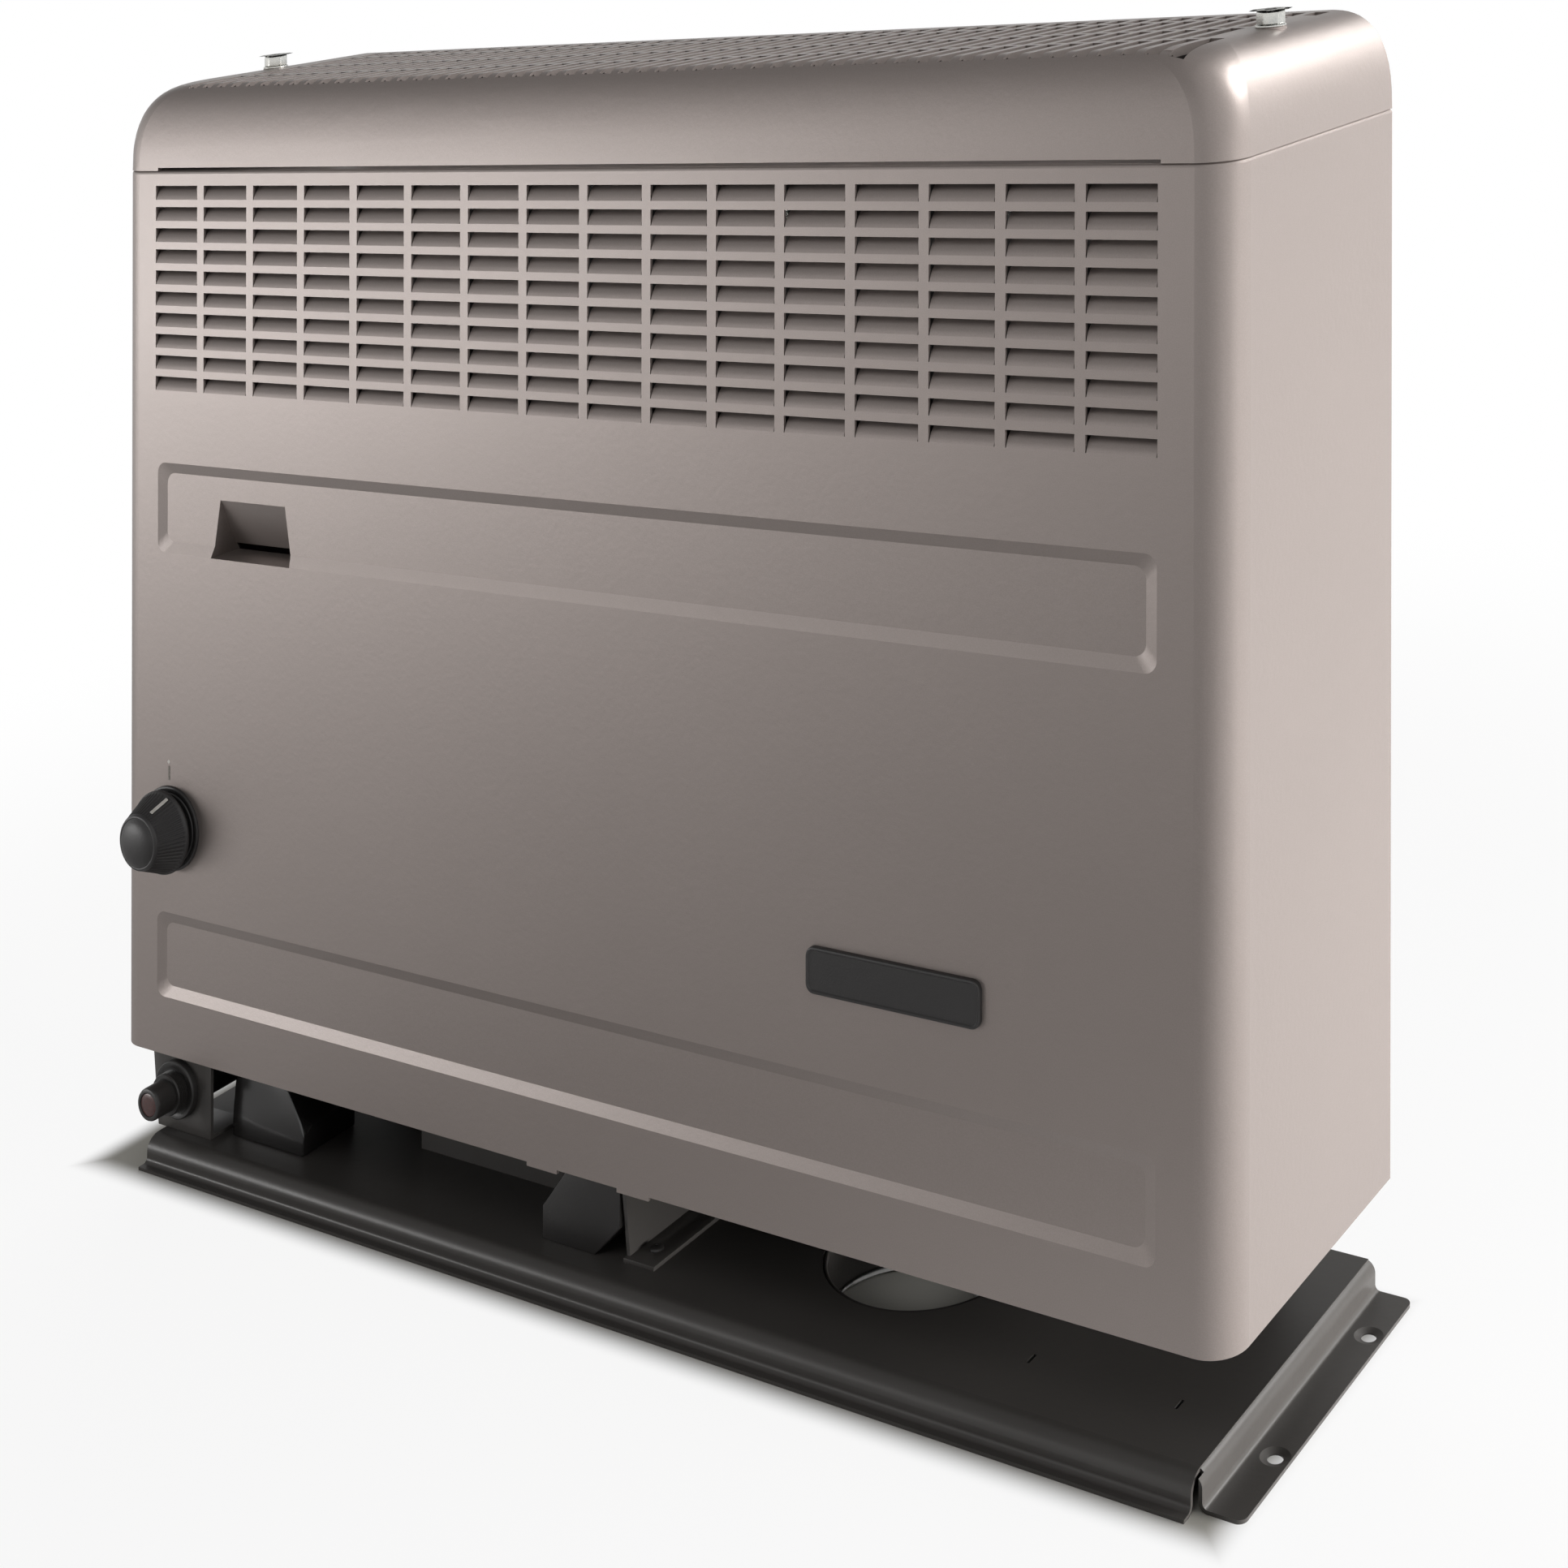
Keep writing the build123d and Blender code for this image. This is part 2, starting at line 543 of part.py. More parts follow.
def housing():
    """The front and both sides in one bent sheet, with louvres, panels, pocket and returned edges."""
    shell = rolled_outline()
    hollow = upright(SHEET, CORNER_RADIUS - SHEET, HOUSING_DEPTH + SHEET, HOUSING_BOTTOM - SHEET, SEAM_HEIGHT - SHEET)
    throat = upright(TOP_FLANGE, CORNER_RADIUS - SHEET, HOUSING_DEPTH + SHEET, SEAM_HEIGHT - 2 * SHEET,
                     SEAM_HEIGHT + SHEET)
    shell = shell - hollow - throat
    half = HOUSING_WIDTH / 2
    for side in (-1, 1):
        x0, x1 = sorted((side * half, side * (half - REAR_FLANGE)))
        shell += block(x0, x1, HOUSING_DEPTH - SHEET, HOUSING_DEPTH, HOUSING_BOTTOM, SEAM_HEIGHT - TOP_ROLL)
    for top, bottom in ((UPPER_PANEL_TOP, UPPER_PANEL_BOTTOM), (LOWER_PANEL_TOP, LOWER_PANEL_BOTTOM)):
        shell += tapered_panel(PANEL_LEFT, PANEL_RIGHT, bottom, top, PANEL_BEVEL, PANEL_DEPTH, SHEET)
    shell += pocket_space(SHEET) - block(-half, 0, -2 * SHEET, SHEET / 2, 0, SEAM_HEIGHT)
    for top, bottom in ((UPPER_PANEL_TOP, UPPER_PANEL_BOTTOM), (LOWER_PANEL_TOP, LOWER_PANEL_BOTTOM)):
        shell -= tapered_panel(PANEL_LEFT, PANEL_RIGHT, bottom, top, PANEL_BEVEL, PANEL_DEPTH)
    shell -= pocket_space(0)
    shell -= block(POCKET_CENTRE - POCKET_BOTTOM_WIDTH / 2 + SHEET, POCKET_CENTRE + POCKET_BOTTOM_WIDTH / 2 - SHEET,
                   POCKET_DEPTH / 2, POCKET_DEPTH + 2 * SHEET, POCKET_BOTTOM, POCKET_BOTTOM + POCKET_SLIT)
    for x in TAB_CENTRES:
        shell += block(x - TAB_WIDTH / 2, x + TAB_WIDTH / 2, 0, SHEET, HOUSING_BOTTOM - TAB_DROP,
                       HOUSING_BOTTOM + SHEET)
    shell -= rod_y(HOUSING_KNOB_HOLE, KNOB_X, -SHEET, 2 * SHEET, KNOB_Z)
    shell = shell - louvre_windows()
    return shell + louvre_blades()


def lid_form(inset, back, floor, top):
    """The lid's rounded form, drawn in by an inset, as level outlines that shrink towards the top.

    The shoulder is a full oval curve from the seam to the top, wider at the sides than at the front.
    """
    sections = []
    for step in range(LID_STEPS + 1):
        angle = radians(90 * step / LID_STEPS)
        rise = sin(angle) ** (2 / LID_FULLNESS)
        drawn = 1 - max(cos(angle), 0) ** (2 / LID_FULLNESS)
        radius = CORNER_RADIUS - inset + LID_CORNER_GROWTH * drawn
        outline = plan(inset + (LID_SIDE_SHOULDER - inset) * drawn, radius, back,
                       inset + (LID_FRONT_SHOULDER - inset) * drawn)
        sections.append(Pos(0, 0, SEAM_HEIGHT + (top - SEAM_HEIGHT) * rise) * outline)
    form = loft(sections)
    if floor < SEAM_HEIGHT:
        form += upright(inset, CORNER_RADIUS - inset, back, floor, SEAM_HEIGHT)
    return form


def slot_places():
    """The middle in X and the two ends in Y of each slot, without those that the lid screws take."""
    places = []
    for row in range(SLOT_ROWS):
        y0 = SLOT_FRONT + row * (SLOT_LENGTH + SLOT_WEB)
        y1 = min(y0 + SLOT_LENGTH, SLOT_END)
        for index in range(SLOT_COUNT):
            x = SLOT_FIRST_X - index * SLOT_PITCH
            beside = abs(abs(x) - LID_SCREW_X) < HEX_FLANGE_RADIUS + SLOT_WIDTH / 2
            if beside and y0 - HEX_FLANGE_RADIUS < LID_SCREW_Y < y1 + HEX_FLANGE_RADIUS:
                continue
            places.append((x, y0, y1))
    return places


def lid():
    """The top grille: a rounded cover with rows of long deep slots, notched along its front lower edge."""
    top = SEAM_HEIGHT + LID_HEIGHT
    form = lid_form(0, HOUSING_DEPTH, SEAM_HEIGHT, top)
    form -= lid_form(SHEET, HOUSING_DEPTH + SHEET, SEAM_HEIGHT - SHEET, top - SHEET)
    form += block(SLOT_LAST_X - SLOT_PITCH, SLOT_FIRST_X + SLOT_WIDTH / 2, LIP_FRONT, HOUSING_DEPTH, top - LIP_DEPTH,
                  top - SHEET / 2)
    foot = upright(SHEET / 2, CORNER_RADIUS - SHEET / 2, HOUSING_DEPTH, SEAM_HEIGHT, SEAM_HEIGHT + SHEET)
    form += foot - upright(LID_FOOT, CORNER_RADIUS - LID_FOOT, HOUSING_DEPTH + SHEET, SEAM_HEIGHT - SHEET,
                           SEAM_HEIGHT + 2 * SHEET)
    form -= block(-SEAM_GAP_END, SEAM_GAP_END, -SHEET, LID_FOOT + SHEET, SEAM_HEIGHT - SHEET, SEAM_HEIGHT + SEAM_GAP)
    for side in (-1, 1):
        form += rod_z(HEX_FLANGE_RADIUS, side * LID_SCREW_X, LID_SCREW_Y, top - LIP_DEPTH, top)
    form = form - [block(x - SLOT_WIDTH / 2, x + SLOT_WIDTH / 2, y0, y1, top - SLOT_FLOOR, top + SHEET)
                   for x, y0, y1 in slot_places()]
    for side in (-1, 1):
        form -= rod_z(SCREW_RADIUS + SCREW_CLEARANCE, side * LID_SCREW_X, LID_SCREW_Y, SEAM_HEIGHT, top + SHEET)
    return form


def chain(*points):
    """Straight edges from point to point."""
    return Polyline(*points).edges()


def tray():
    """The black pressed tray: rounded front wall with a lip, stepped right flange, rear wall and holes."""
    under = TRAY_TOP - TRAY_SHEET
    arc = (TRAY_FRONT + TRAY_SHOULDER, TRAY_TOP - TRAY_SHOULDER)
    wall_in = TRAY_FRONT + TRAY_SHEET
    lip = TRAY_FRONT - FRONT_LIP
    foot = (TRAY_FRONT - TRAY_FRONT_CREASE, TRAY_SHEET + TRAY_FRONT_CREASE)
    edges = [
        Line((TRAY_REAR, TRAY_TOP), (arc[0], TRAY_TOP)),
        CenterArc(arc, TRAY_SHOULDER, 90, 90),
        Line((TRAY_FRONT, arc[1]), (TRAY_FRONT, foot[1])),
        CenterArc(foot, TRAY_FRONT_CREASE, 0, -90),
        *chain((foot[0], TRAY_SHEET), (lip, TRAY_SHEET), (lip, 0), (foot[0], 0)),
        CenterArc(foot, TRAY_FRONT_CREASE + TRAY_SHEET, 0, -90),
        Line((wall_in, foot[1]), (wall_in, arc[1])),
        CenterArc(arc, TRAY_SHOULDER - TRAY_SHEET, 90, 90),
        *chain((arc[0], under), (TRAY_REAR - TRAY_SHEET, under), (TRAY_REAR - TRAY_SHEET, 0), (TRAY_REAR, 0),
               (TRAY_REAR, TRAY_TOP)),
    ]
    front_end = TRAY_RIGHT - CORNER_NOTCH
    sheet = Pos(TRAY_LEFT, 0, 0) * extrude(Plane.YZ * make_face(edges), front_end - TRAY_LEFT)
    side_start = TRAY_FRONT + CORNER_NOTCH
    outer = TRAY_RIGHT + SIDE_FLANGE
    root = front_end - TRAY_SHOULDER
    bend, crease = TRAY_SIDE_SHOULDER, TRAY_SIDE_CREASE
    over, beside = (TRAY_RIGHT - bend, TRAY_TOP - bend), (TRAY_RIGHT + crease, TRAY_SHEET + crease)
    wall = TRAY_RIGHT - TRAY_SHEET
    edges = [
        Line((root, TRAY_TOP), (over[0], TRAY_TOP)),
        CenterArc(over, bend, 0, 90),
        Line((TRAY_RIGHT, over[1]), (TRAY_RIGHT, beside[1])),
        CenterArc(beside, crease, 180, 90),
        *chain((beside[0], TRAY_SHEET), (outer, TRAY_SHEET), (outer, 0), (beside[0], 0)),
        CenterArc(beside, crease + TRAY_SHEET, 180, 90),
        Line((wall, beside[1]), (wall, over[1])),
        CenterArc(over, bend - TRAY_SHEET, 0, 90),
        *chain((over[0], under), (root, under), (root, TRAY_TOP)),
    ]
    side = Pos(0, TRAY_REAR, 0) * extrude(Plane.XZ * make_face(edges), TRAY_REAR - side_start)
    corner = block(root, outer, side_start, TRAY_REAR, 0, TRAY_TOP)
    corner = fillet(corner.edges().filter_by(Axis.Z).sort_by(Axis.X)[-2:], FLANGE_CORNER)
    side = (side & corner) - block(root - SHEET, wall, side_start - SHEET, arc[0], 0, TRAY_TOP + SHEET)
    sheet = sheet + side
    sheet -= rod_z(DUCT_RADIUS, DUCT_X, DUCT_Y, -TRAY_SHEET, TRAY_TOP + TRAY_SHEET)
    for x in SLIT_X:
        sheet -= block(x - SLIT_WIDTH / 2, x + SLIT_WIDTH / 2, SLIT_Y - SLIT_LENGTH / 2, SLIT_Y + SLIT_LENGTH / 2,
                       under - TRAY_SHEET, TRAY_TOP + TRAY_SHEET)
    for y in FLANGE_HOLE_Y:
        dimple = Cone(FLANGE_HOLE_RADIUS, FLANGE_DIMPLE_RADIUS, FLANGE_DIMPLE_DEPTH)
        sheet -= Pos(FLANGE_HOLE_X, y, TRAY_SHEET - FLANGE_DIMPLE_DEPTH / 2) * dimple
        sheet -= rod_z(FLANGE_HOLE_RADIUS, FLANGE_HOLE_X, y, -TRAY_SHEET, 2 * TRAY_SHEET)
    for x, y, seat in tray_screw_places():
        sheet -= rod_z(SMALL_SCREW_RADIUS + SCREW_CLEARANCE, x, y, under - TRAY_SHEET, TRAY_TOP + TRAY_SHEET)
    return sheet


def duct_collar():
    """The bright collar that lines the tray's large hole, with a lip under the sheet."""
    under = TRAY_TOP - TRAY_SHEET
    outer = DUCT_RADIUS - SCREW_CLEARANCE
    collar = rod_z(outer, DUCT_X, DUCT_Y, FLOOR_CLEARANCE, TRAY_TOP - TRAY_SHEET / 2)
    collar += rod_z(DUCT_RADIUS + COLLAR_LIP, DUCT_X, DUCT_Y, under - TRAY_SHEET, under)
    return collar - rod_z(outer - COLLAR_WALL, DUCT_X, DUCT_Y, -TRAY_SHEET, TRAY_TOP)


def name_plate():
    """The blank plate low on the right of the front, with softly rounded edges."""
    shape = RectangleRounded(PLATE_WIDTH, PLATE_HEIGHT, PLATE_ROUNDING)
    plate = Pos(PLATE_CENTRE_X, 0, PLATE_CENTRE_Z) * extrude(Rot(90, 0, 0) * shape, PLATE_THICKNESS)
    return fillet(plate.faces().sort_by(Axis.Y)[0].edges(), PLATE_THICKNESS / 3)


def hex_screw(x, y, seat, length):
    """A hexagon flange screw that stands on a seat, its shank going down."""
    head_top = seat + HEX_FLANGE + HEX_HEIGHT
    head = hexagon_z(HEX_FLATS, x, y, seat + HEX_FLANGE, head_top)
    head &= Pos(x, y, seat) * Sphere(((HEX_FLATS / 2) ** 2 + (head_top - seat) ** 2) ** 0.5)
    flange = rod_z(HEX_FLANGE_RADIUS, x, y, seat, seat + HEX_FLANGE)
    return head + flange + rod_z(SCREW_RADIUS, x, y, seat - length, seat)


def lid_screws():
    """The two bright screws on the lid."""
    seat = SEAM_HEIGHT + LID_HEIGHT
    return [hex_screw(side * LID_SCREW_X, LID_SCREW_Y, seat, LID_SCREW_LENGTH) for side in (-1, 1)]


def lid_brackets():
    """The two brackets on the housing's top flange that the lid screws pass into."""
    pieces = []
    top = SEAM_HEIGHT + LID_BRACKET_RISE
    y0, y1 = LID_SCREW_Y - LID_BRACKET_WIDTH / 2, LID_SCREW_Y + LID_BRACKET_WIDTH / 2
    outer = HOUSING_WIDTH / 2 - 2 * SHEET
    leg = LID_BRACKET_LEG
    for side in (-1, 1):
        strips = ((leg - LID_BRACKET_SHEET, outer, SEAM_HEIGHT, SEAM_HEIGHT + LID_BRACKET_SHEET),
                  (leg - LID_BRACKET_SHEET, leg, SEAM_HEIGHT, top),
                  (leg - LID_BRACKET_TAB, leg, top - LID_BRACKET_SHEET, top))
        piece = None
        for near, far, z0, z1 in strips:
            x0, x1 = sorted((side * near, side * far))
            strip = block(x0, x1, y0, y1, z0, z1)
            piece = strip if piece is None else piece + strip
        pieces.append(piece - rod_z(SCREW_RADIUS + SCREW_CLEARANCE, side * LID_SCREW_X, LID_SCREW_Y, SEAM_HEIGHT,
                                    top + SHEET))
    return pieces


def knob():
    """The ribbed conical knob with a domed cap."""
    base, cap = -KNOB_BACK, -KNOB_BACK - KNOB_LENGTH
    dome_radius = (KNOB_CAP_RADIUS ** 2 + KNOB_DOME ** 2) / (2 * KNOB_DOME)
    cone = Rot(90, 0, 0) * Cone(KNOB_BASE_RADIUS, KNOB_CAP_RADIUS, KNOB_LENGTH)
    body = Pos(KNOB_X, (base + cap) / 2, KNOB_Z) * cone
    dome = Pos(KNOB_X, cap - KNOB_DOME + dome_radius, KNOB_Z) * Sphere(dome_radius)
    body += dome & rod_y(KNOB_CAP_RADIUS, KNOB_X, cap - KNOB_DOME, cap, KNOB_Z)
    start = Vector(0, base, KNOB_BASE_RADIUS)
    end = Vector(0, cap, KNOB_CAP_RADIUS)
    flank = Plane(origin=(start + end) * 0.5, z_dir=end - start)
    groove = flank * Cylinder(KNOB_RIB_DEPTH, (end - start).length + 2 * SHEET)
    grooves = []
    for index in range(KNOB_RIBS):
        grooves.append(Pos(KNOB_X, 0, KNOB_Z) * (Rot(0, 360 * index / KNOB_RIBS, 0) * groove))
    body = body - grooves
    return body - rod_y(KNOB_BORE, KNOB_X, base - KNOB_SOCKET, base + SHEET, KNOB_Z)


def knob_bezel():
    """The thin ring on the housing behind the knob, with a barrel through the sheet."""
    ring = rod_y(BEZEL_RADIUS, KNOB_X, -BEZEL_FLANGE, 0, KNOB_Z)
    ring = fillet(ring.faces().sort_by(Axis.Y)[0].edges(), BEZEL_FLANGE / 3)
    ring += rod_y(BEZEL_BARREL, KNOB_X, 0, 2 * SHEET, KNOB_Z)
    return ring - rod_y(BEZEL_BORE, KNOB_X, -2 * BEZEL_FLANGE, 3 * SHEET, KNOB_Z)


PLUNGER_FACE = VALVE_FRONT + VALVE_WALL
CHAMBER_SEAT = PLUNGER_FACE + PLUNGER_LENGTH + PLUNGER_CHAMBER


def knob_spindle():
    """The round rod from the knob to the valve, with a locating collar."""
    rod = rod_y(SPINDLE_RADIUS, KNOB_X, -KNOB_BACK - KNOB_SOCKET, PLUNGER_FACE, KNOB_Z)
    collar = VALVE_FRONT - VALVE_SNOUT - KNOB_TRAVEL - SPINDLE_COLLAR - SHEET
    return rod + rod_y(SPINDLE_COLLAR_RADIUS, KNOB_X, collar, collar + SPINDLE_COLLAR, KNOB_Z)


def valve_plunger():
    """The disc that the spindle pushes to open the safety valve."""
    return rod_y(PLUNGER_RADIUS, KNOB_X, PLUNGER_FACE, PLUNGER_FACE + PLUNGER_LENGTH, KNOB_Z)


def coil_spring(radius, x, z, y0, y1):
    """An open coil spring along Y between two seats."""
    length = y1 - y0 - SPRING_WIRE
    path = Helix(length / SPRING_TURNS, length, radius)
    wound = sweep(Plane(origin=path @ 0, z_dir=path % 0) * Circle(SPRING_WIRE / 2), path=path, is_frenet=True)
    return Pos(x, y0 + SPRING_WIRE / 2, z) * (Rot(-90, 0, 0) * wound)


def valve_spring():
    """The spring that lifts the plunger and the knob again."""
    return coil_spring(SPRING_RADIUS, KNOB_X, KNOB_Z, PLUNGER_FACE + PLUNGER_LENGTH, CHAMBER_SEAT)


def gas_valve():
    """The valve body with its snout, spindle bore, plunger chamber and two ports below."""
    x0, x1 = KNOB_X - VALVE_WIDTH / 2, KNOB_X + VALVE_WIDTH / 2
    z0, z1 = KNOB_Z - VALVE_HEIGHT / 2, KNOB_Z + VALVE_HEIGHT / 2
    body = block(x0, x1, VALVE_FRONT, VALVE_FRONT + VALVE_DEPTH, z0, z1)
    body = fillet(body.edges().filter_by(Axis.Y), 3 * SHEET)
    body += rod_y(VALVE_SNOUT_RADIUS, KNOB_X, VALVE_FRONT - VALVE_SNOUT, VALVE_FRONT, KNOB_Z)
    body -= rod_y(SPINDLE_RADIUS + SPINDLE_CLEARANCE, KNOB_X, VALVE_FRONT - 2 * VALVE_SNOUT, PLUNGER_FACE, KNOB_Z)
    body -= rod_y(PLUNGER_RADIUS + SPINDLE_CLEARANCE, KNOB_X, PLUNGER_FACE, CHAMBER_SEAT, KNOB_Z)
    for x in (GAS_IN_X, GAS_OUT_X):
        body += rod_z(PORT_RADIUS, x, BURNER_Y, z0 - PORT_LENGTH, z0)
        body -= rod_z(PIPE_RADIUS, x, BURNER_Y, z0 - 2 * PORT_LENGTH, z0 - PORT_LENGTH / 2)
    return body


def valve_bracket():
    """The bent sheet post that carries the valve above the tray."""
    y0 = VALVE_FRONT + VALVE_DEPTH
    right = KNOB_X + VALVE_WIDTH / 2 - 2 * SHEET
    post = block(VALVE_POST_LEFT, right, y0, y0 + FRAME_SHEET, TRAY_TOP, KNOB_Z + VALVE_HEIGHT / 2)
    foot = block(VALVE_POST_LEFT, right, y0, y0 + FRAME_FOOT, TRAY_TOP, TRAY_TOP + FRAME_SHEET)
    return post + foot - rod_z(SMALL_SCREW_RADIUS + SCREW_CLEARANCE, *VALVE_SCREW, 0, 2 * TRAY_TOP)


def bent_rod(points, radius, bend):
    """A round rod along straight runs joined by round bends."""
    path = FilletPolyline(*points, radius=bend)
    return sweep(Plane(origin=path @ 0, z_dir=path % 0) * Circle(radius), path=path)


def gas_pipe(points):
    """A hollow gas pipe."""
    return bent_rod(points, PIPE_RADIUS, PIPE_BEND) - bent_rod(points, PIPE_RADIUS - PIPE_WALL, PIPE_BEND)


PORT_TOP = KNOB_Z - VALVE_HEIGHT / 2 - PORT_LENGTH / 2


def gas_inlet_pipe():
    """The pipe from the back of the heater to the valve."""
    return gas_pipe([(GAS_IN_X, BURNER_Y, PORT_TOP), (GAS_IN_X, BURNER_Y, INLET_HEIGHT),
                     (GAS_IN_X, FLUE_END, INLET_HEIGHT)])


def burner_pipe():
    """The pipe from the valve down to the burner's jet."""
    return gas_pipe([(GAS_OUT_X, BURNER_Y, PORT_TOP), (GAS_OUT_X, BURNER_Y, BURNER_Z),
                     (CHAMBER_LEFT - JET_HEX, BURNER_Y, BURNER_Z)])


def inlet_nut():
    """The union nut that holds the inlet pipe in the valve's port."""
    top = KNOB_Z - VALVE_HEIGHT / 2 - PORT_LENGTH
    nut = hexagon_z(NUT_FLATS, GAS_IN_X, BURNER_Y, top - NUT_LENGTH, top)
    return nut - rod_z(PIPE_RADIUS, GAS_IN_X, BURNER_Y, top - 2 * NUT_LENGTH, top + SHEET)


def igniter_bracket():
    """The upright black plate at the front left that holds the igniter."""
    y0, y1 = IGNITER_PLATE_Y, IGNITER_PLATE_Y + IGNITER_PLATE_SHEET
    plate = xz_prism([(IGNITER_FOOT_LEFT, TRAY_TOP), (IGNITER_PLATE_RIGHT, TRAY_TOP),
                      (IGNITER_PLATE_RIGHT, IGNITER_PLATE_TOP), (IGNITER_PLATE_LEFT, IGNITER_PLATE_TOP)], y0, y1)
    plate += block(TRAY_LEFT + SHEET, IGNITER_PLATE_RIGHT, y0, y0 + IGNITER_PLATE_FOOT, TRAY_TOP,
                   TRAY_TOP + IGNITER_PLATE_SHEET)
    return plate - rod_y(IGNITER_SLEEVE_RADIUS + SCREW_CLEARANCE, IGNITER_X, y0 - SHEET, y1 + SHEET, IGNITER_Z)


SLEEVE_FRONT = IGNITER_PLATE_Y - IGNITER_NUT - IGNITER_SLEEVE
BUTTON_REAR = BUTTON_FRONT + BUTTON_REACH
IGNITER_SEAT = BUTTON_REAR + BUTTON_TRAVEL + IGNITER_SPRING_SPACE


def igniter_body():
    """The igniter's barrel behind the plate and its threaded sleeve in front."""
    back = IGNITER_PLATE_Y + IGNITER_PLATE_SHEET
    body = rod_y(IGNITER_SLEEVE_RADIUS, IGNITER_X, SLEEVE_FRONT, back, IGNITER_Z)
    body += rod_y(IGNITER_BARREL_RADIUS, IGNITER_X, back, back + IGNITER_BARREL, IGNITER_Z)
    return body - rod_y(BUTTON_BORE, IGNITER_X, SLEEVE_FRONT - SHEET, IGNITER_SEAT, IGNITER_Z)


def igniter_nut():
    """The round nut that clamps the igniter to its plate."""
    nut = rod_y(IGNITER_NUT_RADIUS, IGNITER_X, IGNITER_PLATE_Y - IGNITER_NUT, IGNITER_PLATE_Y, IGNITER_Z)
    nut = fillet(nut.faces().sort_by(Axis.Y)[0].edges(), IGNITER_NUT / 4)
    return nut - rod_y(IGNITER_SLEEVE_RADIUS, IGNITER_X, -IGNITER_BARREL, IGNITER_BARREL, IGNITER_Z)


def igniter_button():
    """The push button, hollowed in front for its coloured disc."""
    button = rod_y(BUTTON_RADIUS, IGNITER_X, BUTTON_FRONT, BUTTON_REAR, IGNITER_Z)
    button = fillet(button.faces().sort_by(Axis.Y)[0].edges(), BUTTON_INSERT)
    return button - rod_y(BUTTON_INSERT_RADIUS, IGNITER_X, BUTTON_FRONT - SHEET, BUTTON_FRONT + BUTTON_INSERT,
                          IGNITER_Z)


def button_disc():
    """The red disc set into the button."""
    return rod_y(BUTTON_INSERT_RADIUS, IGNITER_X, BUTTON_FRONT, BUTTON_FRONT + BUTTON_INSERT, IGNITER_Z)


def igniter_spring():
    """The spring behind the push button."""
    return coil_spring(IGNITER_SPRING_RADIUS, IGNITER_X, IGNITER_Z, BUTTON_REAR, IGNITER_SEAT)


def pilot_box():
    """The glossy box at the left of the tray, open behind and sloping at its upper right."""
    left, right, top = PILOT_BOX_LEFT, PILOT_BOX_RIGHT, PILOT_BOX_TOP
    rear = PILOT_BOX_FRONT + PILOT_BOX_DEPTH
    side, ridge, wall = PILOT_BOX_SIDE, PILOT_BOX_LEFT + PILOT_BOX_TOP_WIDTH, BOX_WALL
    box = xz_prism([(left, TRAY_TOP), (right, TRAY_TOP), (right, side), (ridge, top), (left, top)],
                   PILOT_BOX_FRONT, rear)
    inner = xz_prism([(left + wall, TRAY_TOP + wall), (right - wall, TRAY_TOP + wall),
                      (right - wall, side - wall / 2), (ridge - wall / 2, top - wall),
                      (left + wall, top - wall)], PILOT_BOX_FRONT + wall, rear + SHEET)
    return box - inner


def sight_box():
    """The box on the burner chamber's front that frames the sight glass, with two sloping corners."""
    left, right, top = SIGHT_BOX_LEFT, SIGHT_BOX_RIGHT, SIGHT_BOX_TOP
    slope = SIGHT_BOX_CHAMFER
    box = xz_prism([(left, TRAY_TOP), (right - slope, TRAY_TOP), (right, TRAY_TOP + slope), (right, top),
                    (left + 2 * slope, top), (left, TRAY_TOP + slope)], SIGHT_BOX_FRONT, CHAMBER_FRONT)
    return box - rod_y(SIGHT_WINDOW_RADIUS, SIGHT_X, SIGHT_BOX_FRONT + BOX_WALL, CHAMBER_FRONT + SHEET, SIGHT_Z)


SIGHT_X = (SIGHT_BOX_LEFT + SIGHT_BOX_RIGHT) / 2
SIGHT_Z = BURNER_Z - SIGHT_WINDOW_RADIUS


def sight_glass():
    """The round glass at the back of the sight box."""
    return rod_y(SIGHT_WINDOW_RADIUS, SIGHT_X, CHAMBER_FRONT - SIGHT_GLASS, CHAMBER_FRONT, SIGHT_Z)


def support_bracket():
    """The angle bracket beside the burner chamber's right end, its upright leaning back at the foot."""
    rear = BRACKET_REAR
    upper = BRACKET_LEG_FRONT - BRACKET_SLANT
    bracket = yz_prism([(BRACKET_LEG_FRONT, TRAY_TOP), (rear, TRAY_TOP), (rear, BRACKET_TOP), (upper, BRACKET_TOP),
                        (upper, BRACKET_SLANT_TOP)], BRACKET_X, BRACKET_X + BRACKET_SHEET)
    bracket += block(BRACKET_X, BRACKET_X + BRACKET_FOOT, BRACKET_FRONT, rear, TRAY_TOP, TRAY_TOP + BRACKET_SHEET)
    for y in BRACKET_SCREW_Y:
        bracket -= rod_z(SMALL_SCREW_RADIUS + SCREW_CLEARANCE, BRACKET_SCREW_X, y, 0, 2 * TRAY_TOP)
    return bracket


def tray_screw_places():
    """Where each tray screw stands: x, y and the height of its seat."""
    places = [(BRACKET_SCREW_X, y, TRAY_TOP + BRACKET_SHEET) for y in BRACKET_SCREW_Y]
    places.append((FOOT_SCREW_X, FOOT_SCREW_Y, TRAY_TOP + CHAMBER_WALL))
    frame_x = FRAME_LEG_X + FRAME_BAR / 2
    places += [(side * frame_x, FRAME_SCREW_Y, TRAY_TOP + FRAME_SHEET) for side in (-1, 1)]
    return places + [(*VALVE_SCREW, TRAY_TOP + FRAME_SHEET)]


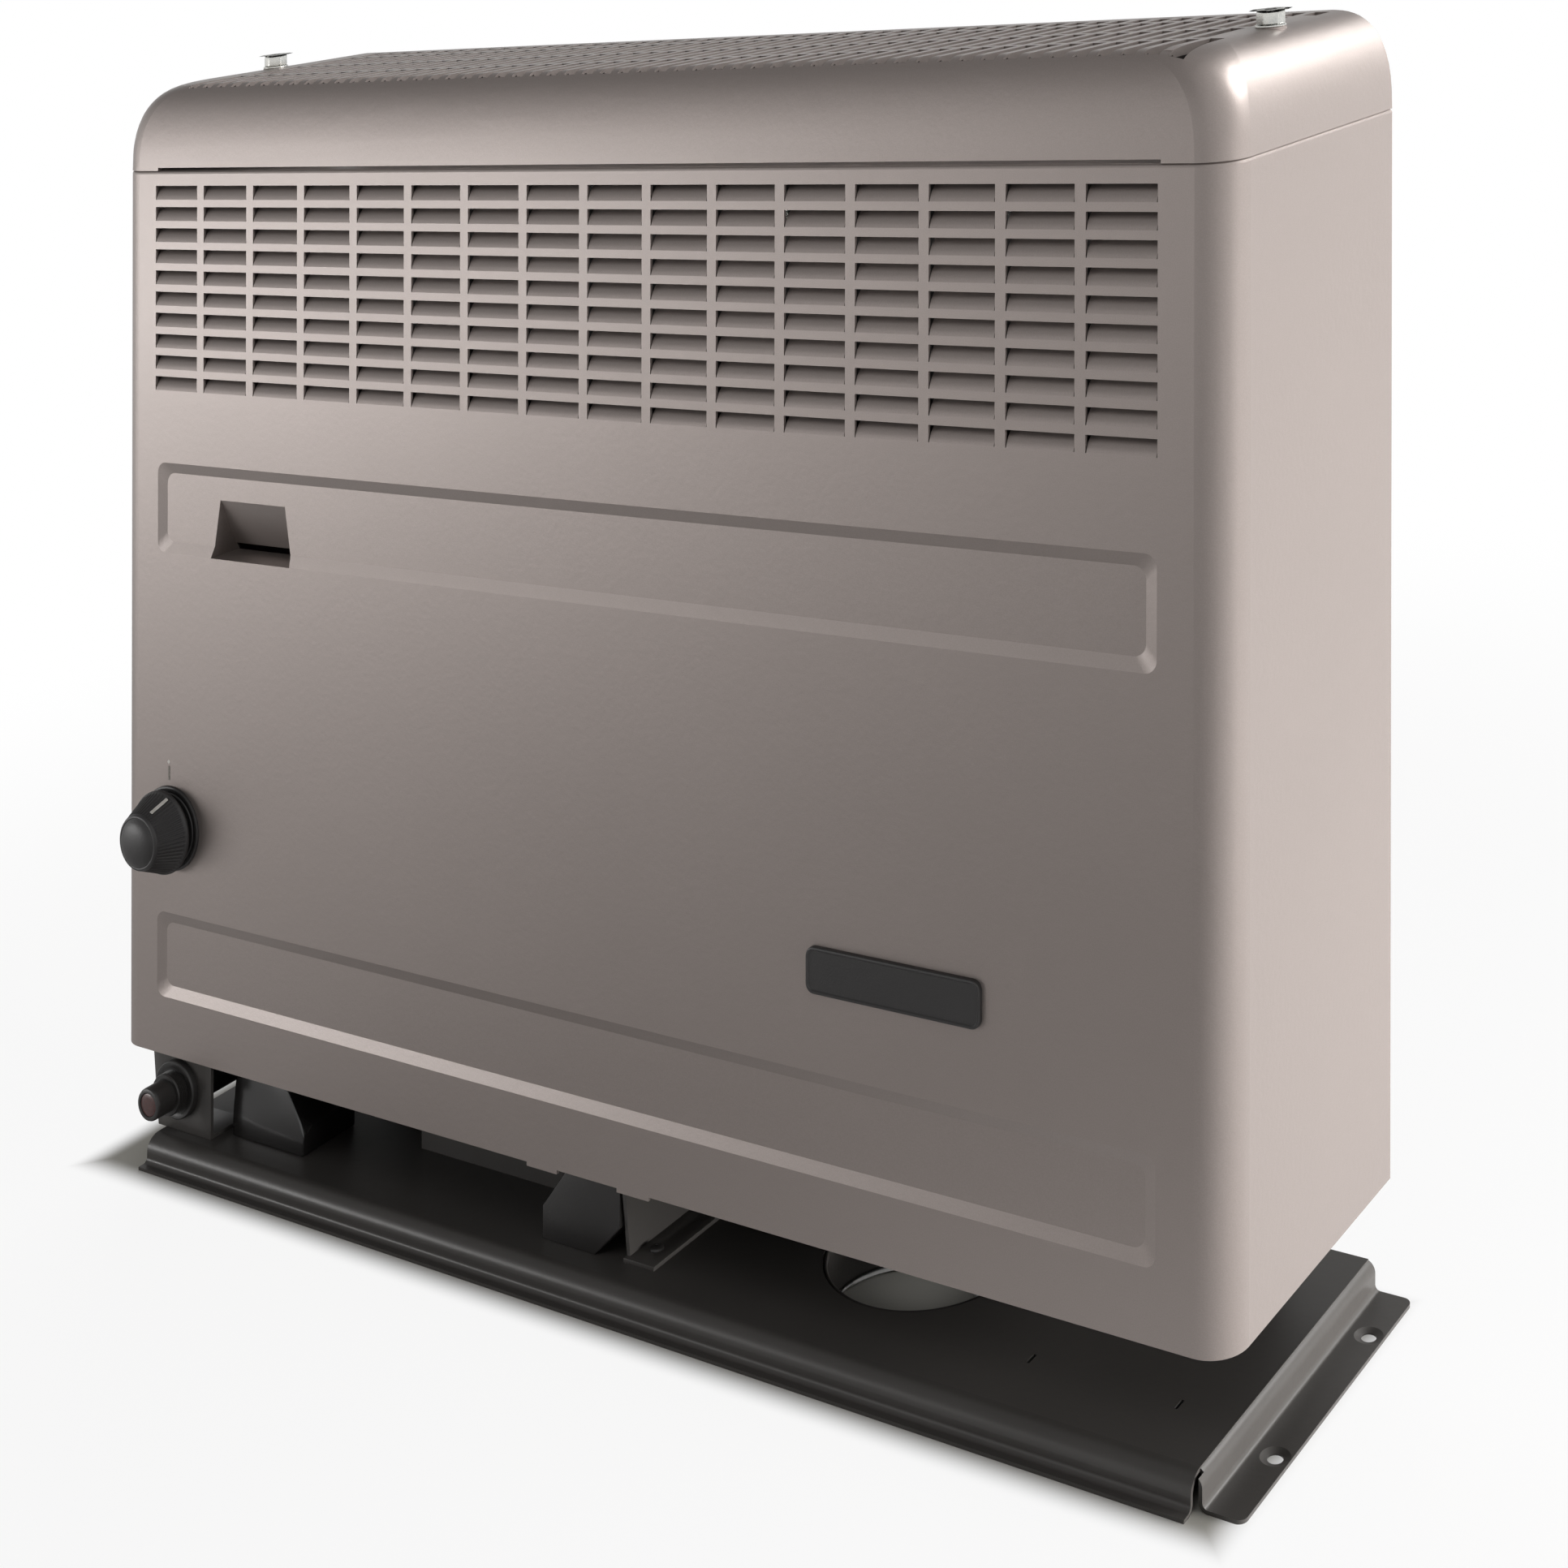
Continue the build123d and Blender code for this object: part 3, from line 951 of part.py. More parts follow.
def tray_screws():
    """The small round-headed screws that hold the brackets to the tray."""
    screws = []
    for x, y, seat in tray_screw_places():
        head = rod_z(SMALL_HEAD_RADIUS, x, y, seat, seat + SMALL_HEAD)
        head = fillet(head.faces().sort_by(Axis.Z)[-1].edges(), SMALL_HEAD / 2)
        screws.append(head + rod_z(SMALL_SCREW_RADIUS, x, y, TRAY_TOP - TRAY_SCREW_DROP, seat))
    return screws


def burner_chamber():
    """The open-topped steel trough under the heat exchanger that holds the burner."""
    chamber = block(CHAMBER_LEFT, CHAMBER_RIGHT, CHAMBER_FRONT, CHAMBER_REAR, TRAY_TOP, EXCHANGER_BOTTOM)
    chamber -= block(CHAMBER_LEFT + CHAMBER_WALL, CHAMBER_RIGHT - CHAMBER_WALL, CHAMBER_FRONT + CHAMBER_WALL,
                     CHAMBER_REAR - CHAMBER_WALL, TRAY_TOP + CHAMBER_WALL, EXCHANGER_BOTTOM + CHAMBER_WALL)
    inside = CHAMBER_LEFT + 2 * CHAMBER_WALL
    chamber -= rod_y(SIGHT_WINDOW_RADIUS - SHEET, SIGHT_X, 0, CHAMBER_FRONT + 2 * CHAMBER_WALL, SIGHT_Z)
    chamber -= rod_x(JET_RADIUS, CHAMBER_LEFT - SHEET, inside, BURNER_Y, BURNER_Z)
    for y in (THERMOCOUPLE_Y, ELECTRODE_Y):
        chamber -= rod_x(PROBE_RADIUS, CHAMBER_LEFT - SHEET, inside, y, PROBE_Z)
    return chamber


def burner_tube():
    """The slotted burner tube along the chamber, on two saddles."""
    tube = rod_x(BURNER_RADIUS, BURNER_START, BURNER_END, BURNER_Y, BURNER_Z)
    half = BURNER_RADIUS / 2
    for x in (BURNER_START, BURNER_END - 2 * CHAMBER_WALL):
        tube += block(x, x + 2 * CHAMBER_WALL, BURNER_Y - half, BURNER_Y + half, TRAY_TOP + CHAMBER_WALL, BURNER_Z)
    tube -= rod_x(BURNER_BORE, BURNER_START - SHEET, BURNER_END - CHAMBER_WALL, BURNER_Y, BURNER_Z)
    pitch = (BURNER_END - BURNER_START) / (BURNER_SLOTS + 1)
    slots = []
    for index in range(BURNER_SLOTS):
        x = BURNER_START + pitch * (index + 1)
        slots.append(block(x - SHEET, x + SHEET, BURNER_Y - half, BURNER_Y + half, BURNER_Z,
                           BURNER_Z + 2 * BURNER_RADIUS))
    return tube - slots


def gas_jet():
    """The jet that screws through the chamber's left wall."""
    shape = RegularPolygon(JET_FLATS / 2, 6, major_radius=False)
    jet = Pos(CHAMBER_LEFT - JET_HEX, BURNER_Y, BURNER_Z) * (Rot(0, 90, 0) * extrude(shape, JET_HEX))
    jet += rod_x(JET_RADIUS, CHAMBER_LEFT, CHAMBER_LEFT + JET_LENGTH, BURNER_Y, BURNER_Z)
    return jet - rod_x(JET_BORE, CHAMBER_LEFT - 2 * JET_HEX, CHAMBER_LEFT + 2 * JET_LENGTH, BURNER_Y, BURNER_Z)


def pilot_burner():
    """The small pilot burner that stands beside the main one."""
    post = rod_z(PILOT_RADIUS, PILOT_X, PILOT_Y, TRAY_TOP + CHAMBER_WALL, PILOT_TOP)
    head = block(PILOT_X - PILOT_RADIUS, PILOT_X + PILOT_RADIUS, PILOT_Y - 2 * PILOT_RADIUS, PILOT_Y + PILOT_RADIUS,
                 PILOT_TOP - PILOT_RADIUS, PILOT_TOP)
    return post + head


def thermocouple():
    """The flame sensor through the chamber's wall, with its stiff lead to the valve."""
    start = CHAMBER_LEFT - JET_HEX
    probe = rod_x(PROBE_RADIUS, start, PILOT_X, THERMOCOUPLE_Y, PROBE_Z)
    height = KNOB_Z - VALVE_HEIGHT / 4
    middle = VALVE_FRONT + VALVE_DEPTH * 0.7
    lead = bent_rod([(start, THERMOCOUPLE_Y, PROBE_Z), (LEAD_X, THERMOCOUPLE_Y, PROBE_Z),
                     (LEAD_X, THERMOCOUPLE_Y, height), (LEAD_X, middle, height),
                     (KNOB_X + VALVE_WIDTH / 2, middle, height)], LEAD_RADIUS, LEAD_BEND)
    return probe + lead


def ignition_electrode():
    """The ceramic ignition electrode with its wire tip."""
    probe = rod_x(PROBE_RADIUS, CHAMBER_LEFT - 2 * JET_HEX, PILOT_X - JET_LENGTH, ELECTRODE_Y, PROBE_Z)
    return probe + rod_x(PROBE_TIP, PILOT_X - JET_LENGTH, PILOT_X, ELECTRODE_Y, PROBE_Z)


def rounded_slab(y0, y1, inset, radius):
    """A rounded upright slab with the heat exchanger's outline, drawn in by an inset."""
    shape = RectangleRounded(EXCHANGER_RIGHT - EXCHANGER_LEFT - 2 * inset, EXCHANGER_TOP - EXCHANGER_BOTTOM - 2 * inset,
                             radius)
    slab = extrude(Rot(-90, 0, 0) * shape, y1 - y0)
    return Pos((EXCHANGER_LEFT + EXCHANGER_RIGHT) / 2, y0, (EXCHANGER_TOP + EXCHANGER_BOTTOM) / 2) * slab


def rim(y0, y1):
    """A plate of the heat exchanger's rim: past the outline at both sides and at the top, level at the foot."""
    return block(EXCHANGER_LEFT - EXCHANGER_RIM, EXCHANGER_RIGHT + EXCHANGER_RIM, y0, y1, EXCHANGER_BOTTOM,
                 EXCHANGER_TOP + EXCHANGER_RIM)


def rim_bolt_places():
    """Where the rim's bolts stand, as x and z."""
    left, right = EXCHANGER_LEFT - RIM_BOLT_INSET, EXCHANGER_RIGHT + RIM_BOLT_INSET
    height = EXCHANGER_TOP - EXCHANGER_BOTTOM
    places = [(x, EXCHANGER_BOTTOM + height * share) for x in (left, right) for share in (0.2, 0.5, 0.8)]
    width = right - left
    return places + [(left + width * share, EXCHANGER_TOP + RIM_BOLT_INSET) for share in (0.2, 0.5, 0.8)]


def rim_bolt_holes():
    """The holes through both rims and the seal."""
    y0, y1 = EXCHANGER_FRONT, EXCHANGER_REAR
    return [rod_y(RIM_BOLT_RADIUS + SCREW_CLEARANCE, x, y0, y1, z) for x, z in rim_bolt_places()]


SEAM_FRONT = EXCHANGER_SEAM_Y - GASKET_THICKNESS / 2
SEAM_REAR = EXCHANGER_SEAM_Y + GASKET_THICKNESS / 2


def mouth():
    """The space of the mouth through which the burner's flames enter the heat exchanger."""
    return block(CHAMBER_LEFT + MOUTH_INSET, CHAMBER_RIGHT - MOUTH_INSET, CHAMBER_FRONT + 2 * CHAMBER_WALL,
                 CHAMBER_REAR - 2 * CHAMBER_WALL, EXCHANGER_BOTTOM - SHEET, EXCHANGER_BOTTOM + 2 * EXCHANGER_WALL)


def exchanger_half(seam, face, rib_top):
    """One ribbed half of the heat exchanger, with its rim and its share of the mouth below."""
    out = 1 if face > seam else -1
    y0, y1 = sorted((seam, face))
    form = rounded_slab(y0, y1, 0, EXCHANGER_RADIUS)
    pitch = (EXCHANGER_RIGHT - EXCHANGER_LEFT) / (RIB_COUNT + 1)
    for index in range(RIB_COUNT):
        form += rod_z(RIB_RADIUS, EXCHANGER_LEFT + pitch * (index + 1), face, EXCHANGER_BOTTOM + 3 * RIB_RADIUS,
                      rib_top)
    y0, y1 = sorted((seam, seam + out * EXCHANGER_RIM_SHEET))
    form += rim(y0, y1)
    y0, y1 = sorted((seam - out * SHEET, face - out * EXCHANGER_WALL))
    form -= rounded_slab(y0, y1, EXCHANGER_WALL, EXCHANGER_RADIUS - EXCHANGER_WALL)
    return form - mouth() - rim_bolt_holes()


def exchanger_front():
    """The half of the heat exchanger that faces the room."""
    return exchanger_half(SEAM_FRONT, EXCHANGER_FRONT, EXCHANGER_TOP - 3 * RIB_RADIUS)


def exchanger_rear():
    """The half towards the wall, its ribs ending below the hole for the flue."""
    half = exchanger_half(SEAM_REAR, EXCHANGER_REAR, FLUE_Z - FLUE_RADIUS - 3 * RIB_RADIUS)
    return half - rod_y(FLUE_RADIUS - FLUE_WALL, FLUE_X, EXCHANGER_REAR - 2 * EXCHANGER_WALL, FLUE_END, FLUE_Z)


def exchanger_gasket():
    """The seal between the two halves."""
    ring = rim(SEAM_FRONT, SEAM_REAR) - rounded_slab(SEAM_FRONT - SHEET, SEAM_REAR + SHEET, EXCHANGER_WALL,
                                                     EXCHANGER_RADIUS - EXCHANGER_WALL)
    return ring - mouth() - rim_bolt_holes()


def rim_bolts():
    """The bolts round the heat exchanger's rim."""
    bolts = []
    front = SEAM_FRONT - EXCHANGER_RIM_SHEET
    rear = SEAM_REAR + EXCHANGER_RIM_SHEET
    for x, z in rim_bolt_places():
        bolt = rod_y(RIM_BOLT_RADIUS, x, front, rear + SMALL_HEAD, z)
        bolts.append(bolt + rod_y(2 * RIM_BOLT_RADIUS, x, front - SMALL_HEAD, front, z))
    return bolts


def exchanger_foot():
    """The channel that carries the heat exchanger's right end on the tray."""
    x0, x1 = FOOT_LEFT, FOOT_LEFT + FOOT_WIDTH
    foot = block(x0, x1, FOOT_FRONT, CHAMBER_REAR, TRAY_TOP, TRAY_TOP + CHAMBER_WALL)
    foot += block(x0, x0 + CHAMBER_WALL, FOOT_FRONT, CHAMBER_REAR, TRAY_TOP, EXCHANGER_BOTTOM)
    foot += block(x0, x1, FOOT_FRONT, CHAMBER_REAR, EXCHANGER_BOTTOM - CHAMBER_WALL, EXCHANGER_BOTTOM)
    return foot - rod_z(SMALL_SCREW_RADIUS + SCREW_CLEARANCE, FOOT_SCREW_X, FOOT_SCREW_Y, 0, 2 * TRAY_TOP)


def flue_spigot():
    """The flue pipe that leaves the heat exchanger towards the wall."""
    pipe = rod_y(FLUE_RADIUS, FLUE_X, EXCHANGER_REAR, FLUE_END, FLUE_Z)
    pipe += rod_y(FLUE_RADIUS + FLUE_BAND_THICKNESS, FLUE_X, EXCHANGER_REAR, EXCHANGER_REAR + EXCHANGER_RIM_SHEET,
                  FLUE_Z)
    return pipe - rod_y(FLUE_RADIUS - FLUE_WALL, FLUE_X, EXCHANGER_SEAM_Y, FLUE_END + SHEET, FLUE_Z)


def flue_clamp():
    """The band clamp on the flue pipe."""
    y0 = EXCHANGER_REAR + 2 * FLUE_BAND_THICKNESS
    band = rod_y(FLUE_RADIUS + FLUE_BAND_THICKNESS, FLUE_X, y0, y0 + FLUE_BAND, FLUE_Z)
    band += block(FLUE_X - FLUE_BAND, FLUE_X + FLUE_BAND, y0, y0 + FLUE_BAND, FLUE_Z, FLUE_Z + FLUE_RADIUS + FLUE_BAND)
    return band - rod_y(FLUE_RADIUS, FLUE_X, y0 - SHEET, y0 + 2 * FLUE_BAND, FLUE_Z)


def rear_frame():
    """The sheet back behind the housing's returned edges and the lid, open round the flue, on two feet."""
    half = HOUSING_WIDTH / 2 - FRAME_SIDE_GAP
    y0, y1 = HOUSING_DEPTH, HOUSING_DEPTH + FRAME_SHEET
    z0 = HOUSING_BOTTOM + FRAME_SIDE_GAP
    frame = block(-half, half, y0, y1, z0, FRAME_TOP)
    frame += block(-half + FRAME_NECK, half - FRAME_NECK, y0, y1, z0, SEAM_HEIGHT + LID_HEIGHT - LIP_DEPTH)
    frame += block(-FRAME_LEG_X - FRAME_BAR, FRAME_LEG_X + FRAME_BAR, y0, y1, TRAY_TOP, z0 + SHEET)
    reach = FLUE_RADIUS + FRAME_FLUE_GAP
    frame -= block(FLUE_X - reach, FLUE_X + reach, y0 - SHEET, y1 + SHEET, FLUE_Z - reach, FLUE_Z + reach)
    for side in (-1, 1):
        x0, x1 = sorted((side * FRAME_LEG_X, side * (FRAME_LEG_X + FRAME_BAR)))
        frame += block(x0, x1, y1 - FRAME_FOOT, y1, TRAY_TOP, TRAY_TOP + FRAME_SHEET)
        frame -= rod_z(SMALL_SCREW_RADIUS + SCREW_CLEARANCE, side * (FRAME_LEG_X + FRAME_BAR / 2), FRAME_SCREW_Y, 0,
                       2 * TRAY_TOP)
    return frame


def housing_clips():
    """The four spring clips that hold the housing's edges against the frame."""
    clips = []
    edge = HOUSING_WIDTH / 2 - REAR_FLANGE - SCREW_CLEARANCE
    face = HOUSING_DEPTH - SHEET
    strips = ((edge - CLIP_WIDTH, edge, HOUSING_DEPTH - CLIP_SHEET, HOUSING_DEPTH),
              (edge - CLIP_SHEET, edge, face - CLIP_SHEET, HOUSING_DEPTH),
              (edge - CLIP_SHEET, edge + REAR_FLANGE / 2, face - CLIP_SHEET, face))
    for side in (-1, 1):
        for height in CLIP_HEIGHTS:
            clip = None
            for near, far, y0, y1 in strips:
                x0, x1 = sorted((side * near, side * far))
                strip = block(x0, x1, y0, y1, height - CLIP_WIDTH / 2, height + CLIP_WIDTH / 2)
                clip = strip if clip is None else clip + strip
            clips.append(clip)
    return clips


SENSOR_Z = TRAY_TOP + SENSOR_RISE


def room_sensor():
    """The thermostat's bulb, low at the back, with its stiff capillary to the valve."""
    bulb = rod_x(SENSOR_RADIUS, SENSOR_START, SENSOR_START + SENSOR_LENGTH, SENSOR_Y, SENSOR_Z)
    height = KNOB_Z + VALVE_HEIGHT / 4
    middle = VALVE_FRONT + VALVE_DEPTH * 0.3
    capillary = bent_rod([(SENSOR_START, SENSOR_Y, SENSOR_Z), (LEAD_X, SENSOR_Y, SENSOR_Z),
                          (LEAD_X, SENSOR_Y, height), (LEAD_X, middle, height),
                          (KNOB_X + VALVE_WIDTH / 2, middle, height)], LEAD_RADIUS, LEAD_BEND)
    return bulb + capillary


def sensor_clips():
    """The two saddles that hold the sensor bulb above the tray."""
    clips = []
    reach = SENSOR_RADIUS + SHEET
    for share in SADDLE_SHARES:
        x = SENSOR_START + SENSOR_LENGTH * share
        saddle = block(x - SENSOR_RADIUS, x + SENSOR_RADIUS, SENSOR_Y - reach, SENSOR_Y + reach, TRAY_TOP, SENSOR_Z)
        clips.append(saddle - rod_x(SENSOR_RADIUS, x - 2 * SENSOR_RADIUS, x + 2 * SENSOR_RADIUS, SENSOR_Y, SENSOR_Z))
    return clips


PIECES = {
    "front_housing": housing,
    "top_grille": lid,
    "lid_screws": lid_screws,
    "lid_brackets": lid_brackets,
    "name_plate": name_plate,
    "base_tray": tray,
    "tray_screws": tray_screws,
    "duct_collar": duct_collar,
    "control_knob": knob,
    "knob_bezel": knob_bezel,
    "knob_spindle": knob_spindle,
    "valve_plunger": valve_plunger,
    "valve_spring": valve_spring,
    "gas_valve": gas_valve,
    "valve_bracket": valve_bracket,
    "gas_inlet_pipe": gas_inlet_pipe,
    "inlet_nut": inlet_nut,
    "burner_pipe": burner_pipe,
    "igniter_bracket": igniter_bracket,
    "igniter_body": igniter_body,
    "igniter_nut": igniter_nut,
    "igniter_button": igniter_button,
    "button_disc": button_disc,
    "igniter_spring": igniter_spring,
    "pilot_box": pilot_box,
    "sight_box": sight_box,
    "sight_glass": sight_glass,
    "support_bracket": support_bracket,
    "burner_chamber": burner_chamber,
    "burner_tube": burner_tube,
    "gas_jet": gas_jet,
    "pilot_burner": pilot_burner,
    "thermocouple": thermocouple,
    "ignition_electrode": ignition_electrode,
    "exchanger_front": exchanger_front,
    "exchanger_rear": exchanger_rear,
    "exchanger_gasket": exchanger_gasket,
    "rim_bolts": rim_bolts,
    "exchanger_foot": exchanger_foot,
    "flue_spigot": flue_spigot,
    "flue_clamp": flue_clamp,
    "rear_frame": rear_frame,
    "housing_clips": housing_clips,
    "room_sensor": room_sensor,
    "sensor_clips": sensor_clips,
}

# The part's origin: the bottom centre of the box round all the pieces
LEFT_END = LEFT_SIDE
RIGHT_END = TRAY_RIGHT + SIDE_FLANGE
FRONT_END = -(KNOB_BACK + KNOB_LENGTH + KNOB_DOME)
REAR_END = FLUE_END
PLACE = Pos(-(LEFT_END + RIGHT_END) / 2, -(FRONT_END + REAR_END) / 2, 0)

os.makedirs("parts", exist_ok=True)
for name, make in PIECES.items():
    made = make()
    solids = made if isinstance(made, list) else [made]
    placed = [PLACE * solid for solid in solids]
    shape = placed[0] if len(placed) == 1 else Compound(children=placed)
    shape.label = name
    export_step(shape, os.path.join("parts", name + ".step"))
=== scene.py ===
# %% [markdown]
# # Caravan gas heater
# The heater is a slim sheet-metal case on a black pressed tray. The CAD model already holds every working
# piece at its true size, so this lesson dresses it: it sets up the camera and the light, makes the finishes,
# and replaces the pieces that show most with softer, more detailed ones. Everything is in metres, in the same
# frame as the CAD: the front faces -Y, and Z is up.

# %% Load the CAD model as a fixed frame
import json
import math

import bmesh
import bpy
from mathutils import Matrix, Vector


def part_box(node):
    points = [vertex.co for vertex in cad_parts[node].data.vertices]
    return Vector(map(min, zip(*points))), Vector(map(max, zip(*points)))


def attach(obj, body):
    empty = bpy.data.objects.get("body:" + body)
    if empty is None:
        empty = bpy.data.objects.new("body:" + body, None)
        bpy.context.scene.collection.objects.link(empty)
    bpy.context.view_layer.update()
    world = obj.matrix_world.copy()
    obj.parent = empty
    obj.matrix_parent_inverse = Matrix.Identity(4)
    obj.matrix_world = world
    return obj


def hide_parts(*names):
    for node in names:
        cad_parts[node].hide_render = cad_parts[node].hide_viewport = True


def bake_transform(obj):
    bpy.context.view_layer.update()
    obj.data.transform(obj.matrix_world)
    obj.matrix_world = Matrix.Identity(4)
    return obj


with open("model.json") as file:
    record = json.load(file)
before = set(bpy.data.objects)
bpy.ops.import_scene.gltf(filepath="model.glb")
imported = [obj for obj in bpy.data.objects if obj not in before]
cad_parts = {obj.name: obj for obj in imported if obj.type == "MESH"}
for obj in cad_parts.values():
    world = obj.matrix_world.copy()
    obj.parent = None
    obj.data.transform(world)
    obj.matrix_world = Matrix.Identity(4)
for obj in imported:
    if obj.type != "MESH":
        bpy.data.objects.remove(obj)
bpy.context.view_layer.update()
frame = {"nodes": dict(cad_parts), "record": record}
nodes = frame["nodes"]
MM = 0.001


# %% [markdown]
# Sizes are easiest to write the way the heater was measured: X from the middle of the case, Y from its front
# face and Z from the floor, in millimetres. One helper turns such a place into the frame's metres, so that
# every later cell can use the sizes that a tape measure would give.

# %% A place on the case, from millimetres to the frame
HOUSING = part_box("front_housing")
CASE_MIDDLE = (HOUSING[0].x + HOUSING[1].x) / 2
CASE_FRONT = HOUSING[0].y


def at(x, y, z):
    """A place in the frame from millimetres: x from the case's middle, y from its front, z from the floor."""
    return Vector((CASE_MIDDLE + x * MM, CASE_FRONT + y * MM, z * MM))


print("case middle", round(CASE_MIDDLE, 5), "front", round(CASE_FRONT, 5))


# %% [markdown]
# ## The camera
# The photograph was taken from the right and above, yet its upright edges stay upright: the picture had been
# straightened. A camera that stands level with a large shift could do that, but the shift would throw the
# other views off centre. Here the camera looks straight at the heater and only its up direction leans, so
# that upright edges come out upright. The lean sits in the link between the camera and an empty, and the
# other views cut that link.

# %% Camera at the photograph's viewing angle
CAMERA_PLACE = (0.5723, -0.68105, 0.48193)
PICTURE_RIGHT = Vector((0.82281, 0.56035, -0.09484))
PICTURE_UP = Vector((-0.00138, -0.00117, 1.0))
LOOK = Vector((-0.57374, 0.74174, -0.34734))
LENS = 61.214

camera_data = bpy.data.cameras.new("photo_camera")
camera_data.lens = LENS
camera_data.sensor_width = 36.0
camera_data.clip_start = 0.02
camera_data.clip_end = 30.0
camera = bpy.data.objects.new("photo_camera", camera_data)
tripod = bpy.data.objects.new("tripod", None)
for thing in (camera, tripod):
    bpy.context.scene.collection.objects.link(thing)
tripod.location = CAMERA_PLACE
camera.parent = tripod
lean = Matrix.Identity(4)
for column, direction in enumerate((PICTURE_RIGHT, PICTURE_UP, -LOOK)):
    for row in range(3):
        lean[row][column] = direction[row]
camera.matrix_parent_inverse = lean
bpy.context.scene.camera = camera
print("camera lens", camera_data.lens, "at", tuple(tripod.location))


# %% [markdown]
# ## Writing shader maths as Python
# A material is a graph of small nodes. Wrapping a socket in a class lets the graph be written as a sum or a
# product, and one method adds any other node. Only numbers go through Math nodes here: colours and vectors
# go through Mix and Vector Math, which keep their three channels.

# %% A socket that can be added and multiplied
class Wire:
    """One socket of a material's node tree, with arithmetic."""

    def __init__(self, tree, socket=None):
        self.tree = tree
        self.socket = socket

    def node(self, kind, settings=None, sockets=None, out=0):
        """Adds a node, makes its settings first, then sets or links its sockets, and wires one output."""
        made = self.tree.nodes.new(kind)
        for name, value in (settings or {}).items():
            setattr(made, name, value)
        for name, value in (sockets or {}).items():
            if isinstance(value, Wire):
                self.tree.links.new(value.socket, made.inputs[name])
            elif value is not None:
                made.inputs[name].default_value = value
        return Wire(self.tree, made.outputs[out])

    def maths(self, operation, first, second=None, clamp=False):
        """A Math node on one or two values."""
        settings = {"operation": operation, "use_clamp": clamp}
        return self.node("ShaderNodeMath", settings, {0: first, 1: second})

    def __add__(self, other):
        return self.maths("ADD", self, other)

    def __sub__(self, other):
        return self.maths("SUBTRACT", self, other)

    def __rsub__(self, other):
        return self.maths("SUBTRACT", other, self)

    def __mul__(self, other):
        return self.maths("MULTIPLY", self, other)

    def __pow__(self, other):
        return self.maths("POWER", self, other)

    __radd__ = __add__
    __rmul__ = __mul__

    def limited(self):
        """The value kept between 0 and 1."""
        return self.maths("ADD", self, 0.0, clamp=True)

    def ramp(self, low, high):
        """0 below low, 1 above high, smooth between."""
        return self.node("ShaderNodeMapRange", {"interpolation_type": "SMOOTHSTEP"},
                         {"Value": self, "From Min": low, "From Max": high})

    def tint(self, dark, light):
        """A colour between two others, this value being the share of the second."""
        first = dark if isinstance(dark, Wire) else (*dark, 1.0)
        second = light if isinstance(light, Wire) else (*light, 1.0)
        return self.node("ShaderNodeMix", {"data_type": "RGBA"}, {0: self, 6: first, 7: second}, out=2)

    def bump(self, height, distance):
        """A Normal from a height, the distance in metres."""
        return self.node("ShaderNodeBump", None, {"Height": height, "Distance": distance})


print("shader maths ready")


# %% [markdown]
# Every finish starts the same way: one Principled shader, the object's own coordinates in metres, and a few
# noises at real scales. A helper makes that start, and each finish then adds what makes it itself.

# %% A new finish
def finish(name, metallic=0.0, coat=0.0, coat_roughness=0.1, transmission=0.0):
    """A material with one Principled shader: the wire to build with, its inputs and the place wire."""
    material = bpy.data.materials.new(name)
    material.use_nodes = True
    tree = material.node_tree
    shader = tree.nodes["Principled BSDF"]
    shader.inputs["Metallic"].default_value = metallic
    shader.inputs["Coat Weight"].default_value = coat
    shader.inputs["Coat Roughness"].default_value = coat_roughness
    shader.inputs["Transmission Weight"].default_value = transmission
    start = Wire(tree)
    place = start.node("ShaderNodeTexCoord", out=3)
    return material, start, shader, place


def noise(start, place, size, detail=3.0):
    """A noise between 0 and 1 whose patches are about size metres across."""
    return start.node("ShaderNodeTexNoise", None, {"Vector": place, "Scale": 1.0 / size, "Detail": detail})


def set_finish(shader, start, **wires):
    """Links wires to the shader's sockets, underscores standing for spaces."""
    for name, wire in wires.items():
        socket = shader.inputs[name.replace("_", " ").title()]
        if isinstance(wire, Wire):
            start.tree.links.new(wire.socket, socket)
        else:
            socket.default_value = wire


FINISHES = {}
print("finish helper ready")


# %% [markdown]
# ## Finishes of the case
# The case is sprayed with a satin titanium paint: a warm grey with fine aluminium flakes under a thin clear
# layer. It could be one flat grey, but the real paint shows a faint grain, a slow drift in tone and the soft
# orange-peel ripple of sprayed sheet, so each of the three gets its own noise at its own size.

# %% Titanium paint
FLAKE_SIZE, DRIFT_SIZE, PEEL_SIZE, PEEL_HEIGHT = 0.00035, 0.12, 0.0022, 0.00006


def titanium_paint():
    """The satin grey of the case, from fine flakes, a slow drift and a soft ripple."""
    material, start, shader, place = finish("titanium_paint", metallic=0.6, coat=0.2, coat_roughness=0.25)
    flakes = noise(start, place, FLAKE_SIZE, 2.0)
    drift = noise(start, place, DRIFT_SIZE, 2.0)
    peel = noise(start, place, PEEL_SIZE, 2.0)
    tone = (flakes.ramp(0.3, 0.7) * 0.6 + drift * 0.4).limited()
    set_finish(shader, start, base_color=tone.tint((0.262, 0.226, 0.210), (0.302, 0.262, 0.245)),
               roughness=flakes * 0.08 + drift * 0.05 + 0.40,
               normal=start.bump(peel * 0.8 + flakes * 0.2, PEEL_HEIGHT))
    return material


FINISHES["cladding"] = titanium_paint()
print("titanium paint made")


# %% [markdown]
# The bright small parts are zinc plated: a silver with a faint yellow cast and fine drawing marks. The plain
# steel of the duct's edge and the pipes is a little darker.

# %% Zinc, steel and brass
CLOUD_SIZE, GRAIN_HEIGHT = 0.008, 0.00002


